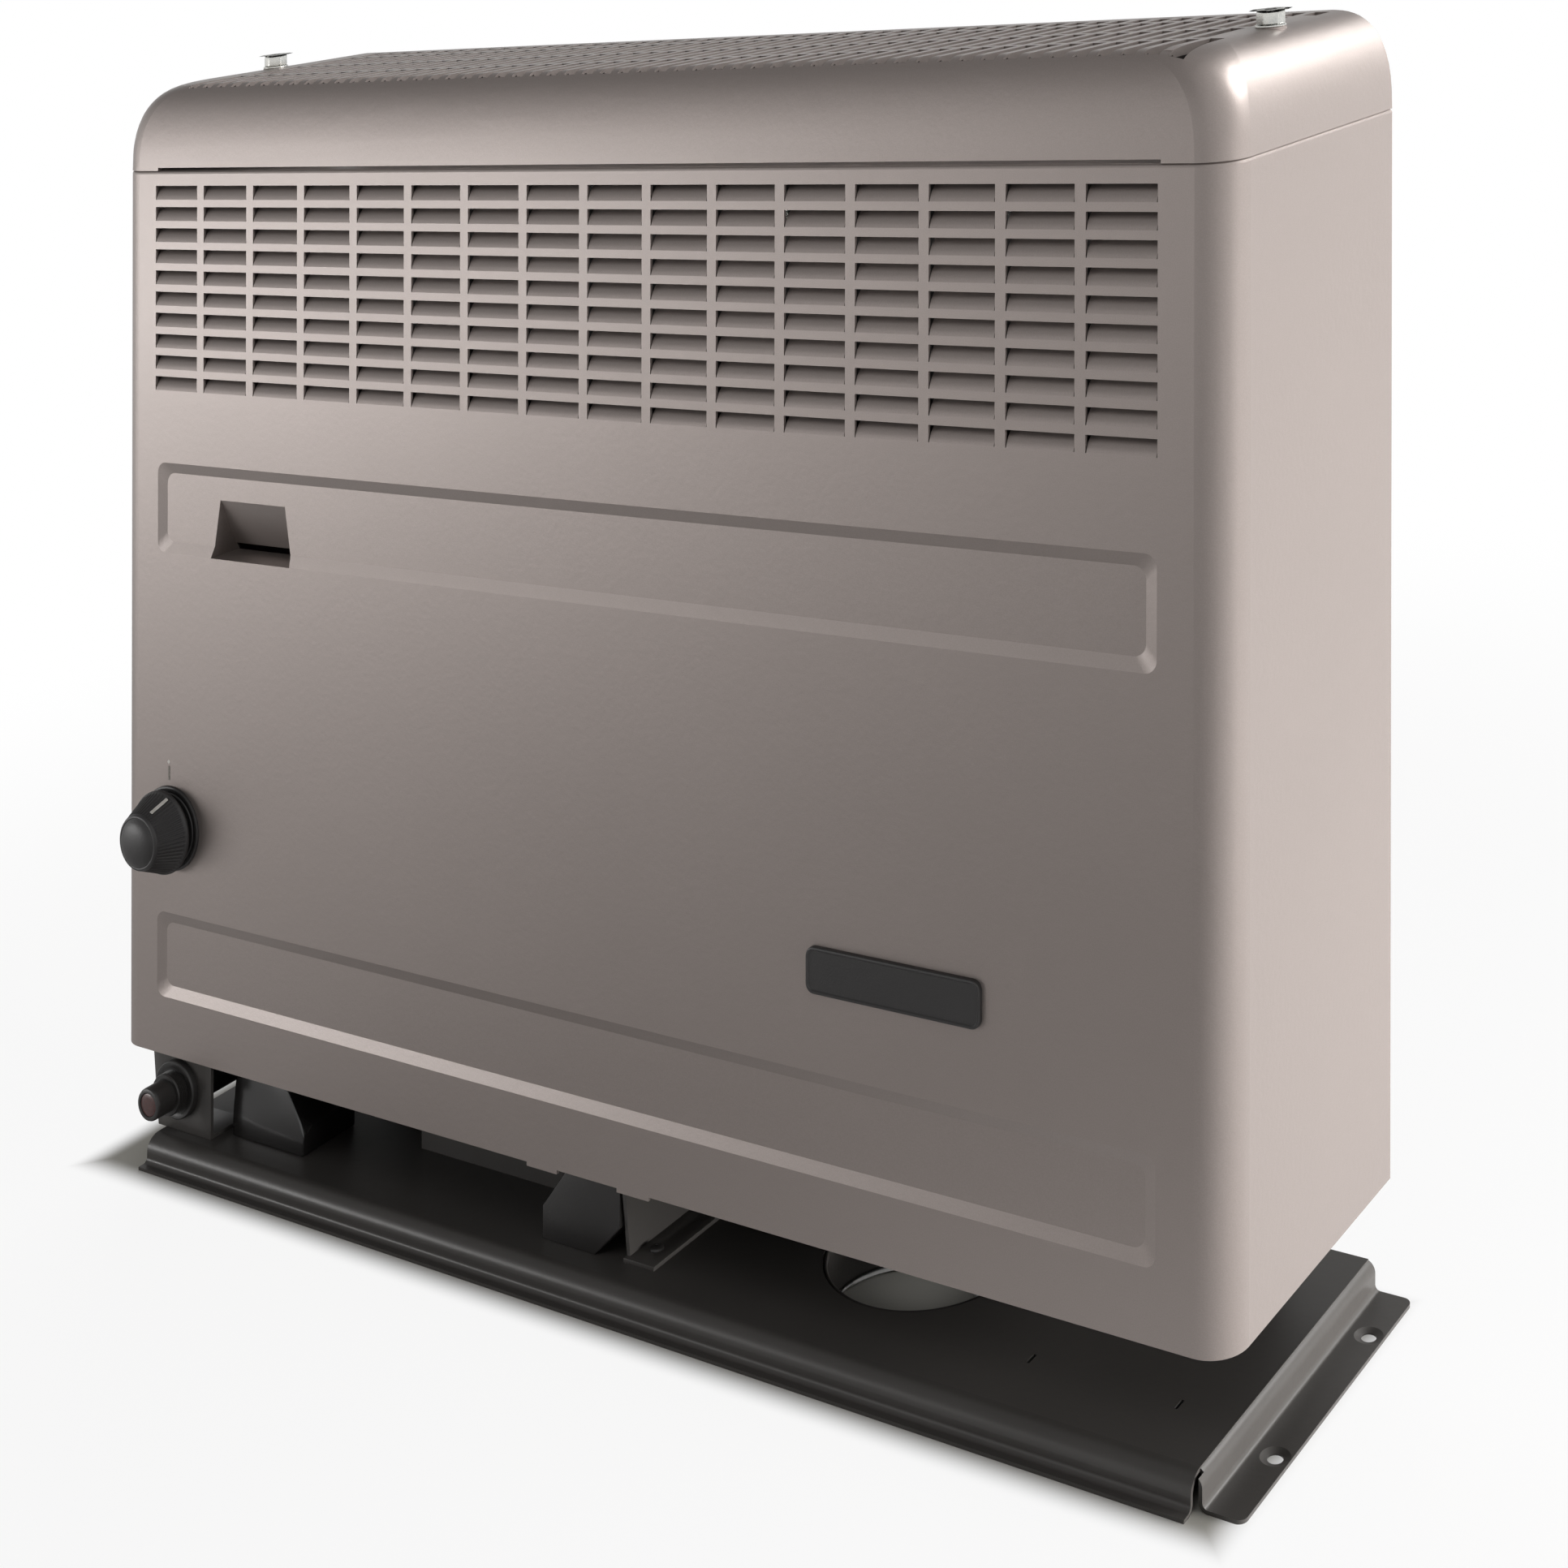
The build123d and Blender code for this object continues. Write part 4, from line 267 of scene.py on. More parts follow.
def plated(name, dark, light, grain, roughness):
    """A bare or plated metal: two close tones, a fine grain and slightly uneven gloss."""
    material, start, shader, place = finish(name, metallic=1.0)
    cloud = noise(start, place, CLOUD_SIZE)
    fine = noise(start, place, grain)
    tone = (cloud * 0.6 + fine * 0.4).ramp(0.3, 0.7)
    set_finish(shader, start, base_color=tone.tint(dark, light),
               roughness=fine * 0.12 + cloud * 0.08 + roughness, normal=start.bump(fine, GRAIN_HEIGHT))
    return material


FINISHES["bright_zinc"] = plated("bright_zinc", (0.52, 0.53, 0.52), (0.72, 0.71, 0.66), 0.0006, 0.16)
FINISHES["bright_steel"] = plated("bright_steel", (0.46, 0.46, 0.45), (0.62, 0.61, 0.59), 0.0009, 0.2)
FINISHES["cast_alloy"] = plated("cast_alloy", (0.36, 0.36, 0.35), (0.48, 0.47, 0.46), 0.0007, 0.42)
FINISHES["brass_fitting"] = plated("brass_fitting", (0.50, 0.36, 0.14), (0.66, 0.50, 0.22), 0.0008, 0.22)
FINISHES["copper_line"] = plated("copper_line", (0.46, 0.22, 0.12), (0.62, 0.32, 0.18), 0.0008, 0.28)
print("bare metals made")


# %% [markdown]
# ## Black finishes
# The tray is stove-enamelled sheet: a warm black that mirrors the case softly, with a slight ripple. The
# pilot box is deeper and glossier, and the knob's plastic has a fine moulded texture. Iron near the flame is
# dull.

# %% Black enamel and black plastics
GLOSS_DRIFT_SIZE, DUST_SIZE = 0.05, 0.0007


def black(name, dark, light, roughness, spread, peel_size, peel_height, coat=0.0, gloss=0.5):
    """A black paint or plastic with a fine surface, a slow drift in gloss and a little dust in its tone."""
    material, start, shader, place = finish(name, coat=coat, coat_roughness=0.15)
    shader.inputs["Specular IOR Level"].default_value = gloss
    cloud = noise(start, place, GLOSS_DRIFT_SIZE)
    fine = noise(start, place, peel_size, 2.0)
    dust = noise(start, place, DUST_SIZE).ramp(0.55, 0.85)
    tone = (cloud * 0.6 + dust * 0.4).limited()
    set_finish(shader, start, base_color=tone.tint(dark, light), roughness=cloud * spread + roughness,
               normal=start.bump(fine, peel_height))
    return material


FINISHES["black_enamel"] = black("black_enamel", (0.055, 0.0515, 0.0485), (0.078, 0.073, 0.069), 0.32, 0.08,
                                 0.003, 0.00004, gloss=0.36)
FINISHES["gloss_black"] = black("gloss_black", (0.012, 0.011, 0.011), (0.022, 0.021, 0.020), 0.14, 0.08,
                                0.003, 0.00004, coat=0.5)
FINISHES["satin_black"] = black("satin_black", (0.014, 0.013, 0.0125), (0.028, 0.026, 0.025), 0.38, 0.12,
                                0.0008, 0.00003)
FINISHES["knob_black"] = black("knob_black", (0.016, 0.015, 0.015), (0.030, 0.028, 0.028), 0.40, 0.10,
                               0.0006, 0.00004)
FINISHES["heat_iron"] = black("heat_iron", (0.030, 0.028, 0.027), (0.060, 0.055, 0.052), 0.60, 0.15,
                              0.0012, 0.00012)
print("black finishes made")


# %% [markdown]
# A few small parts stay: the faded red of the igniter's button, the white ceramic of the electrode, the
# grey fibre seal and the glass of the sight window.

# %% Red, ceramic, fibre and glass
def plain(name, dark, light, roughness, size, height, transmission=0.0, coat=0.0):
    """A non-metal with two close tones and a fine surface."""
    material, start, shader, place = finish(name, transmission=transmission, coat=coat)
    patch = noise(start, place, size)
    set_finish(shader, start, base_color=patch.ramp(0.3, 0.7).tint(dark, light),
               roughness=patch * 0.1 + roughness, normal=start.bump(patch, height))
    return material


FINISHES["dull_red"] = plain("dull_red", (0.055, 0.019, 0.017), (0.085, 0.026, 0.023), 0.35,
                             0.001, 0.00002, coat=0.2)
FINISHES["ceramic_white"] = plain("ceramic_white", (0.70, 0.68, 0.63), (0.80, 0.78, 0.74), 0.18,
                                  0.002, 0.00001)
FINISHES["fibre_seal"] = plain("fibre_seal", (0.20, 0.19, 0.17), (0.32, 0.30, 0.27), 0.80,
                               0.0007, 0.0001)
FINISHES["sight_window"] = plain("sight_window", (0.74, 0.72, 0.66), (0.80, 0.79, 0.74), 0.02,
                                 0.004, 0.000005, transmission=0.9)
print("finishes:", sorted(FINISHES))


# %% [markdown]
# The record lists which node takes which finish, so the dressing follows it and no node is forgotten.

# %% Dress every CAD node
def dress(piece, slot):
    """Gives a piece one finish in place of whatever it came with."""
    piece.data.materials.clear()
    piece.data.materials.append(FINISHES[slot])


for entry in frame["record"]["subparts"]:
    dress(nodes[entry["node"]], entry["material_slot"])


# %% [markdown]
# ## Modelling by hand
# The pieces that show most are now modelled anew over the CAD ones. Each starts as a primitive and is shaped
# in edit mode. An operator acts on all that is selected, so a helper first deselects everything, and another
# selects faces, edges or points by their place. A third one ends every piece the same way: its place goes
# into its mesh, its edges are shaded by their angle, and it is tied to the body that it moves with.

# %% Helpers for modelling by hand
FRONT, UP = Vector((0.0, -1.0, 0.0)), Vector((0.0, 0.0, 1.0))
STRAIGHT = 0.99
MERGE_DISTANCE, COPY_MERGE_DISTANCE = 0.000002, 0.00001
CLOSE = 0.01 * MM


def start_alone():
    """Nothing else may be selected when a primitive is added."""
    bpy.ops.object.select_all(action="DESELECT")


def pick(test, kind="FACE"):
    """In edit mode, selects only the faces, edges or points that pass a test."""
    bpy.ops.mesh.select_mode(type=kind)
    bpy.ops.mesh.select_all(action="DESELECT")
    mesh = bmesh.from_edit_mesh(bpy.context.object.data)
    parts = {"FACE": mesh.faces, "EDGE": mesh.edges, "VERT": mesh.verts}[kind]
    for part in parts:
        part.select_set(bool(test(part)))
    mesh.select_flush_mode()
    bmesh.update_edit_mesh(bpy.context.object.data)


def middle(edge):
    """The middle of an edge."""
    return (edge.verts[0].co + edge.verts[1].co) / 2


def along(edge, axis):
    """Whether an edge runs along the axis with this number."""
    line = edge.verts[1].co - edge.verts[0].co
    return abs(line[axis]) > STRAIGHT * line.length


def closed_up():
    """In edit mode: doubles merged and every face turned outwards."""
    bpy.ops.mesh.select_all(action="SELECT")
    bpy.ops.mesh.remove_doubles(threshold=MERGE_DISTANCE)
    bpy.ops.mesh.normals_make_consistent(inside=False)
    bpy.ops.object.mode_set(mode="OBJECT")


def settled(piece, slot, body="heater", stands_for=(), sharp=35.0):
    """Ends a piece: place in the mesh, shading, finish, body, slot and the CAD node that it stands for."""
    start_alone()
    piece.select_set(True)
    bpy.context.view_layer.objects.active = piece
    bpy.ops.object.transform_apply(location=True, rotation=True, scale=True)
    bpy.ops.object.shade_smooth_by_angle(angle=math.radians(sharp))
    piece.data.name = piece.name
    dress(piece, slot)
    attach(piece, body)
    if stands_for:
        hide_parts(*stands_for)
    print(piece.name, "with", len(piece.data.polygons), "faces")


print("modelling helpers ready")


# %% [markdown]
# Most small parts of a gas heater are turned: knob, ring, nut, button, screw heads. A lathe profile could be
# spun round an axis, but drawing a circle out ring by ring leaves no seam to close. Each ring is a radius and
# a distance along the axis, in millimetres. A radius of nought closes the piece with a fan.

# %% A turned piece
def turned(name, centre, aim, rings, sides):
    """Draws a circle out ring by ring along aim. A last ring that is like the first closes on it."""
    fan = rings[0][0] == 0
    (radius, reach), *others = rings[1:] if fan else rings
    start_alone()
    bpy.ops.mesh.primitive_circle_add(vertices=sides, radius=radius * MM, location=centre + aim * reach * MM,
                                      fill_type="TRIFAN" if fan else "NOTHING",
                                      rotation=aim.to_track_quat("Z", "Y").to_euler())
    piece = bpy.context.object
    piece.name = name
    bpy.ops.object.transform_apply(location=True, rotation=True, scale=True)
    bpy.ops.object.mode_set(mode="EDIT")
    bpy.ops.mesh.select_mode(type="EDGE")
    bpy.ops.mesh.select_all(action="SELECT")
    if fan:
        bpy.ops.mesh.region_to_loop()
    for next_radius, next_reach in others:
        bpy.ops.mesh.extrude_edges_move(TRANSFORM_OT_translate={"value": aim * (next_reach - reach) * MM})
        if next_radius == 0:
            bpy.ops.mesh.merge(type="CENTER")
        else:
            share = next_radius / radius
            bpy.ops.transform.resize(value=(share, share, share),
                                     center_override=centre + aim * next_reach * MM)
        radius, reach = next_radius, next_reach
    closed_up()
    return piece


print("lathe ready")


# %% [markdown]
# ## The knob
# The control knob is a moulded cone with fine ribs to grip, a smooth band and a low domed cap. The ribs could
# be bump in the material, but the knob stands against the white background, where its outline shows them. So
# the flank gets real ribs: half of its points are drawn in towards the axis. Its base has the spindle's
# socket.

# %% Ribbed knob
KNOB_AXIS = at(-213.5, 0.0, 128.1)
RIBS, POINTS_PER_RIB, RIB_DEPTH = 56, 4, 0.42
FLANK_START, FLANK_END, FLANK_MARGIN = 5.6, 14.9, 0.2
FLANK_RADIUS, SOCKET_CLEAR = 13.3, 10.0
knob = turned("control_knob_moulded", KNOB_AXIS, FRONT, [
    (0, 12.0), (3.05, 12.0), (3.05, 4.1), (15.2, 4.1), (15.9, 4.3), (16.1, 4.7), (16.05, 5.2),
    (15.75, FLANK_START), (15.42, 6.0), (11.15, 14.5), (10.95, FLANK_END), (10.85, 15.2), (10.6, 15.6),
    (10.1, 15.95), (9.75, 16.0), (9.45, 15.9), (9.2, 16.05), (8.4, 16.7), (7.0, 17.3), (5.0, 17.8),
    (2.6, 18.1), (0, 18.2)], sides=RIBS * POINTS_PER_RIB)
bpy.ops.object.mode_set(mode="EDIT")


def in_valley(point):
    """Points of the flank that lie between two ribs."""
    side, rise = point.co.x - KNOB_AXIS.x, point.co.z - KNOB_AXIS.z
    depth = (KNOB_AXIS.y - point.co.y) / MM
    step = round(math.atan2(rise, side) / (2 * math.pi) * RIBS * POINTS_PER_RIB)
    on_flank_height = FLANK_START + FLANK_MARGIN < depth < FLANK_END - FLANK_MARGIN
    outside_socket = math.hypot(side, rise) > SOCKET_CLEAR * MM
    return on_flank_height and outside_socket and step % POINTS_PER_RIB in (1, 2)


pick(in_valley, "VERT")
drawn_in = 1 - RIB_DEPTH / FLANK_RADIUS
bpy.ops.transform.resize(value=(drawn_in, 1.0, drawn_in), center_override=KNOB_AXIS)
bpy.ops.object.mode_set(mode="OBJECT")
settled(knob, "knob_black", "knob", ("control_knob",), sharp=32.0)


# %% [markdown]
# A printed line on the knob's flank shows how far the knob is turned. It is paint, so it is a thin strip laid
# over the ribs. A plane could be projected on the cone, but here it is subdivided, and each of its points is
# put at its own place on the cone.

# %% Pointer line on the knob
CONE_LOW, CONE_LOW_RADIUS = 5.3, 15.8
CONE_HIGH, CONE_HIGH_RADIUS = 15.2, 10.85
LINE_LIFT, LINE_THICKNESS = 0.12, 0.22


def flank_radius(depth):
    """The radius over the ribs at a distance from the case, in millimetres."""
    share = (depth - CONE_LOW) / (CONE_HIGH - CONE_LOW)
    return CONE_LOW_RADIUS + share * (CONE_HIGH_RADIUS - CONE_LOW_RADIUS)


def on_flank(depth, degrees):
    """A place just above the knob's flank."""
    radius = (flank_radius(depth) + LINE_LIFT) * MM
    angle = math.radians(degrees)
    return KNOB_AXIS + Vector((radius * math.cos(angle), -depth * MM, radius * math.sin(angle)))


POINTER_ANGLE, POINTER_HALF_WIDTH, POINTER_RADIUS = 69.0, 3.2, 12.0
POINTER_MIDDLE, POINTER_LENGTH = 9.6, 6.6
start_alone()
bpy.ops.mesh.primitive_plane_add(size=1.0, location=(0.0, 0.0, 0.0))
pointer = bpy.context.object
pointer.name = "pointer_line"
bpy.ops.object.mode_set(mode="EDIT")
bpy.ops.mesh.select_all(action="SELECT")
bpy.ops.mesh.subdivide(number_cuts=6)
pointer_mesh = bmesh.from_edit_mesh(pointer.data)
for point in pointer_mesh.verts:
    depth = POINTER_MIDDLE - point.co.y * POINTER_LENGTH
    swing = point.co.x * 2 * POINTER_HALF_WIDTH * POINTER_RADIUS / flank_radius(depth)
    point.co = on_flank(depth, POINTER_ANGLE + swing)
bmesh.update_edit_mesh(pointer.data)
bpy.ops.mesh.select_all(action="SELECT")
bpy.ops.mesh.solidify(thickness=LINE_THICKNESS * MM)
closed_up()
settled(pointer, "ceramic_white", "knob")


# %% [markdown]
# The ring round the knob is a separate moulding clipped into the case: a low rim, a groove and an inner edge.

# %% Ring round the knob
ring = turned("knob_ring_moulded", KNOB_AXIS, FRONT, [
    (16.4, 0.0), (16.4, 0.6), (16.25, 0.95), (15.9, 1.15), (15.5, 1.2), (15.1, 1.1), (14.8, 0.75),
    (13.9, 0.75), (13.6, 1.1), (13.2, 1.2), (11.5, 1.2), (11.1, 1.0), (11.0, 0.6), (11.0, -1.7),
    (13.0, -1.7), (13.0, 0.0), (16.4, 0.0)], sides=96)
settled(ring, "knob_black", "heater", ("knob_bezel",))


# %% [markdown]
# Above the ring the case carries a small printed dot and a short faint bar: the place that the pointer is
# turned to. They are thin discs and strips of paint, kept plain.

# %% Printed dot and bar
BAR_WIDTH, BAR_DEPTH, BAR_HEIGHT, BAR_CORNER = 0.9, 0.2, 5.6, 0.4
dot = turned("setting_dot", at(-214.9, 0.0, 153.6), FRONT, [
    (0, -0.1), (0.75, -0.1), (0.75, 0.05), (0.7, 0.1), (0, 0.1)], sides=24)
settled(dot, "ceramic_white")
start_alone()
bpy.ops.mesh.primitive_cube_add(size=1.0, location=at(-214.6, 0.0, 149.3),
                                scale=(BAR_WIDTH * MM, BAR_DEPTH * MM, BAR_HEIGHT * MM))
bar = bpy.context.object
bar.name = "setting_bar"
bpy.ops.object.transform_apply(location=True, rotation=True, scale=True)
bpy.ops.object.mode_set(mode="EDIT")
pick(lambda edge: along(edge, 1), "EDGE")
bpy.ops.mesh.bevel(offset=BAR_CORNER * MM, segments=4, affect="EDGES")
closed_up()
settled(bar, "fibre_seal")


# %% [markdown]
# ## The name plate
# Low on the right sits a small plain plate: a dark moulding with rounded corners and a raised rim. A cube is
# stretched, its four corners are bevelled round, and the front is inset and pushed in.

# %% Plain name plate
def stretched_cube(name, low, high):
    """A cube from one corner to another, its scale already in its mesh, left in edit mode."""
    start_alone()
    bpy.ops.mesh.primitive_cube_add(size=1.0, location=(low + high) / 2, scale=high - low)
    piece = bpy.context.object
    piece.name = name
    bpy.ops.object.transform_apply(location=True, rotation=True, scale=True)
    bpy.ops.object.mode_set(mode="EDIT")
    return piece


PLATE_FRONT, PLATE_CORNER, PLATE_RIM, PLATE_STEP, RIM_BEVEL = 1.6, 3.2, 0.9, 0.35, 0.5
FACING = 0.9
plate = stretched_cube("name_plate_moulded", at(95.0, -PLATE_FRONT, 120.5), at(161.0, 0.0, 135.5))
pick(lambda edge: along(edge, 1), "EDGE")
bpy.ops.mesh.bevel(offset=PLATE_CORNER * MM, segments=8, affect="EDGES")
pick(lambda face: face.normal.y < -FACING)
bpy.ops.mesh.inset(thickness=PLATE_RIM * MM)
bpy.ops.mesh.inset(thickness=PLATE_STEP * MM)
bpy.ops.transform.translate(value=(0.0, PLATE_STEP * MM, 0.0))
rim_front = at(0.0, -PLATE_FRONT, 0.0).y


def on_rim(edge):
    """Edges between the front of the plate's rim and its sides."""
    normals = [face.normal.y for face in edge.link_faces]
    at_front = abs(middle(edge).y - rim_front) < CLOSE
    return len(normals) == 2 and at_front and min(normals) < -FACING and max(normals) > -0.2


pick(on_rim, "EDGE")
bpy.ops.mesh.bevel(offset=RIM_BEVEL * MM, segments=4, affect="EDGES")
closed_up()
settled(plate, "knob_black", "heater", ("name_plate",))


# %% [markdown]
# ## The screws on the lid
# Two bright hexagon screws with a flange hold the grille. The head starts as a cylinder of six sides. Its
# upright edges get a small bevel and its top a larger one, as a turned hexagon has, and a ring-drawn flange
# and shank are joined under it. One function makes both, each turned a little, as screws end up.

# %% Hexagon flange screws
SEAT, SCREW_BACK = 415.5, 62.0
HEAD_RADIUS, HEAD_HEIGHT, HEAD_MIDDLE, HEAD_TOP = 4.55, 4.4, 3.3, 5.5
EDGE_BEVEL, TOP_BEVEL, DISH_RIM, DISH_DEPTH = 0.35, 1.15, 0.5, 0.2


def hexagon_screw(name, x, turn):
    """One screw at its place, its hexagon turned by some degrees."""
    flange = turned(name, at(x, SCREW_BACK, 0.0), UP, [
        (0, SEAT - 14.0), (1.9, SEAT - 14.0), (2.35, SEAT - 13.4), (2.35, SEAT), (4.7, SEAT),
        (4.9, SEAT + 0.25), (4.85, SEAT + 0.6), (4.3, SEAT + 0.95), (3.6, SEAT + 1.3), (0, SEAT + 1.3)],
        sides=48)
    start_alone()
    bpy.ops.mesh.primitive_cylinder_add(vertices=6, radius=HEAD_RADIUS * MM, depth=HEAD_HEIGHT * MM,
                                        rotation=(0, 0, math.radians(turn)),
                                        location=at(x, SCREW_BACK, SEAT + HEAD_MIDDLE))
    head = bpy.context.object
    bpy.ops.object.transform_apply(location=True, rotation=True, scale=True)
    bpy.ops.object.mode_set(mode="EDIT")
    pick(lambda edge: along(edge, 2), "EDGE")
    bpy.ops.mesh.bevel(offset=EDGE_BEVEL * MM, segments=3, affect="EDGES")
    top = at(0.0, 0.0, SEAT + HEAD_TOP).z
    pick(lambda edge: abs(middle(edge).z - top) < CLOSE, "EDGE")
    bpy.ops.mesh.bevel(offset=TOP_BEVEL * MM, segments=4, affect="EDGES")
    pick(lambda face: face.normal.z > STRAIGHT and abs(face.calc_center_median().z - top) < CLOSE)
    bpy.ops.mesh.inset(thickness=DISH_RIM * MM)
    bpy.ops.transform.translate(value=(0.0, 0.0, -DISH_DEPTH * MM))
    closed_up()
    start_alone()
    head.select_set(True)
    flange.select_set(True)
    bpy.context.view_layer.objects.active = flange
    bpy.ops.object.join()
    settled(flange, "bright_zinc", "heater", ("lid_screws",), sharp=40.0)


hexagon_screw("lid_screw_left", -226.0, 12.0)
hexagon_screw("lid_screw_right", 226.0, -4.0)


# %% [markdown]
# ## The igniter
# The igniter is a barrel clamped through a black plate by a round nut. In front stands its threaded sleeve,
# and in the sleeve slides a button with a dull red disc. The thread is drawn ring by ring, a shallow groove
# every half millimetre or so: a true helix would not show at this size. The button and its disc ride on
# their own body.

# %% Igniter body, nut, button and disc
IGNITER_AXIS = at(-210.4, 0.0, 27.2)
SLEEVE_END, PLATE_BACK, BARREL_END = 5.0, -3.1, -37.1
GROOVES, FIRST_GROOVE, GROOVE_PITCH = 7, 0.5, 0.55
thread = []
for groove in range(GROOVES):
    start = SLEEVE_END - FIRST_GROOVE - GROOVE_PITCH * groove
    thread += [(8.0, start), (8.0, start - 0.2), (7.65, start - 0.28), (7.65, start - 0.42)]
igniter = turned("igniter_barrel", IGNITER_AXIS, FRONT, [
    (0, -12.8), (6.36, -12.8), (6.36, SLEEVE_END), (7.7, SLEEVE_END), *thread, (8.0, 0.5), (8.0, PLATE_BACK),
    (8.5, PLATE_BACK), (8.5, -36.5), (8.0, BARREL_END), (0, BARREL_END)], sides=72)
settled(igniter, "satin_black", "heater", ("igniter_body",))
nut = turned("igniter_round_nut", IGNITER_AXIS, FRONT, [
    (8.02, -1.6), (11.2, -1.6), (11.2, 0.35), (11.05, 0.75), (10.7, 1.0), (9.3, 1.0), (9.0, 0.8), (8.02, 0.8),
    (8.02, -1.6)], sides=72)
settled(nut, "satin_black", "heater", ("igniter_nut",))
button = turned("igniter_push_button", IGNITER_AXIS, FRONT, [
    (0, 12.4), (4.45, 12.4), (4.45, 12.95), (4.7, 13.2), (5.4, 13.2), (5.95, 12.95), (6.25, 12.4),
    (6.3, 11.8), (6.3, -0.5), (6.0, -0.8), (0, -0.8)], sides=64)
settled(button, "satin_black", "button", ("igniter_button",))
disc = turned("igniter_red_disc", IGNITER_AXIS, FRONT, [
    (0, 12.42), (4.38, 12.42), (4.38, 12.75), (4.1, 12.95), (2.0, 13.02), (0, 13.04)], sides=48)
settled(disc, "dull_red", "button", ("button_disc",))


# %% [markdown]
# ## The small boxes and brackets on the tray
# These are folded from sheet. Their flat shapes are right in the CAD, but a folded edge is never razor sharp:
# it has a small radius that catches the light. So each is a merged copy of its CAD node, cleaned of needless
# edges, with a Bevel modifier applied to every sharp edge.

# %% Folded sheet with soft edges
FLAT_ANGLE, FOLD_ANGLE, FOLD_SEGMENTS = 1.0, 40.0, 3


def softened(node, name, radius, slot):
    """A copy of a CAD node whose sharp edges are rounded by a radius in millimetres."""
    piece = bpy.data.objects.new(name, nodes[node].data.copy())
    bpy.context.scene.collection.objects.link(piece)
    start_alone()
    piece.select_set(True)
    bpy.context.view_layer.objects.active = piece
    bpy.ops.mesh.customdata_custom_splitnormals_clear()
    bpy.ops.object.mode_set(mode="EDIT")
    bpy.ops.mesh.select_all(action="SELECT")
    bpy.ops.mesh.remove_doubles(threshold=COPY_MERGE_DISTANCE)
    bpy.ops.mesh.dissolve_limited(angle_limit=math.radians(FLAT_ANGLE))
    bpy.ops.object.mode_set(mode="OBJECT")
    rounding = piece.modifiers.new("rounding", "BEVEL")
    rounding.width = radius * MM
    rounding.segments = FOLD_SEGMENTS
    rounding.limit_method = "ANGLE"
    rounding.angle_limit = math.radians(FOLD_ANGLE)
    bpy.ops.object.modifier_apply(modifier="rounding")
    settled(piece, slot, "heater", (node,))


softened("igniter_bracket", "igniter_plate_folded", 0.35, "black_enamel")
softened("support_bracket", "support_bracket_folded", 0.35, "black_enamel")
softened("sight_box", "sight_box_folded", 0.8, "satin_black")
softened("rear_frame", "back_sheet_folded", 0.3, "black_enamel")


# %% [markdown]
# ## Springs
# A coil spring sits behind the knob's plunger and another one behind the igniter's button. A stiff spring
# would let the plunger run through its coils. Here each is a plain copy of its CAD spring in bright zinc, its
# place baked into its mesh, and the CAD node is hidden.

# %% Two springs copied from the CAD
def springy(node, name):
    """A copy of a CAD spring in bright zinc, its place baked into its mesh, shown in place of the CAD node.
    """
    piece = bpy.data.objects.new(name, nodes[node].data.copy())
    bpy.context.scene.collection.objects.link(piece)
    dress(piece, "bright_zinc")
    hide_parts(node)
    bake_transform(piece)


springy("valve_spring", "valve_spring_coils")
springy("igniter_spring", "igniter_spring_coils")


# %% [markdown]
# The pilot's box is glossier and rounder: its face leans back above a soft bend, which gathers the light of
# the room in one curved band, and its right side slopes from a narrow top down to a low shoulder. A cube is
# cut across with bisect, its top is drawn back, and a second cut takes the slope off. The bend is bevelled
# wide and the other edges narrowly.

# %% Pilot box
BOX_LEFT, BOX_RIGHT, BOX_FRONT, BOX_REAR = -187.0, -147.5, 7.8, 33.8
BOX_FOOT, BOX_TOP, BOX_SIDE, BOX_TOP_WIDTH, BOX_BEND, BOX_LEAN = 10.6, 58.0, 23.4, 8.0, 21.0, 5.0
BEND_BEVEL, BOX_EDGE_BEVEL, BOX_EDGE_ANGLE = 5.0, 0.7, 25.0
NEARBY = 0.1 * MM
box = stretched_cube("pilot_box_pressed", at(BOX_LEFT, BOX_FRONT, BOX_FOOT), at(BOX_RIGHT, BOX_REAR, BOX_TOP))
bpy.ops.mesh.select_all(action="SELECT")
bpy.ops.mesh.bisect(plane_co=at(0.0, 0.0, BOX_BEND), plane_no=(0.0, 0.0, 1.0))
high, near = at(0.0, 0.0, BOX_TOP).z, at(0.0, BOX_FRONT, 0.0).y
pick(lambda point: point.co.z > high - NEARBY and point.co.y < near + NEARBY, "VERT")
bpy.ops.transform.translate(value=(0.0, BOX_LEAN * MM, 0.0))
bpy.ops.mesh.select_all(action="SELECT")
ridge, shoulder = at(BOX_LEFT + BOX_TOP_WIDTH, 0.0, BOX_TOP), at(BOX_RIGHT, 0.0, BOX_SIDE)
across_slope = Vector((ridge.z - shoulder.z, 0.0, shoulder.x - ridge.x))
bpy.ops.mesh.bisect(plane_co=ridge, plane_no=across_slope, clear_outer=True, use_fill=True)
bend = at(0.0, 0.0, BOX_BEND).z
pick(lambda edge: abs(middle(edge).z - bend) < NEARBY and middle(edge).y < near + NEARBY, "EDGE")
bpy.ops.mesh.bevel(offset=BEND_BEVEL * MM, segments=8, affect="EDGES")
pick(lambda edge: edge.is_manifold and edge.calc_face_angle(0.0) > math.radians(BOX_EDGE_ANGLE), "EDGE")
bpy.ops.mesh.bevel(offset=BOX_EDGE_BEVEL * MM, segments=3, affect="EDGES")
closed_up()
settled(box, "gloss_black", "heater", ("pilot_box",), sharp=40.0)
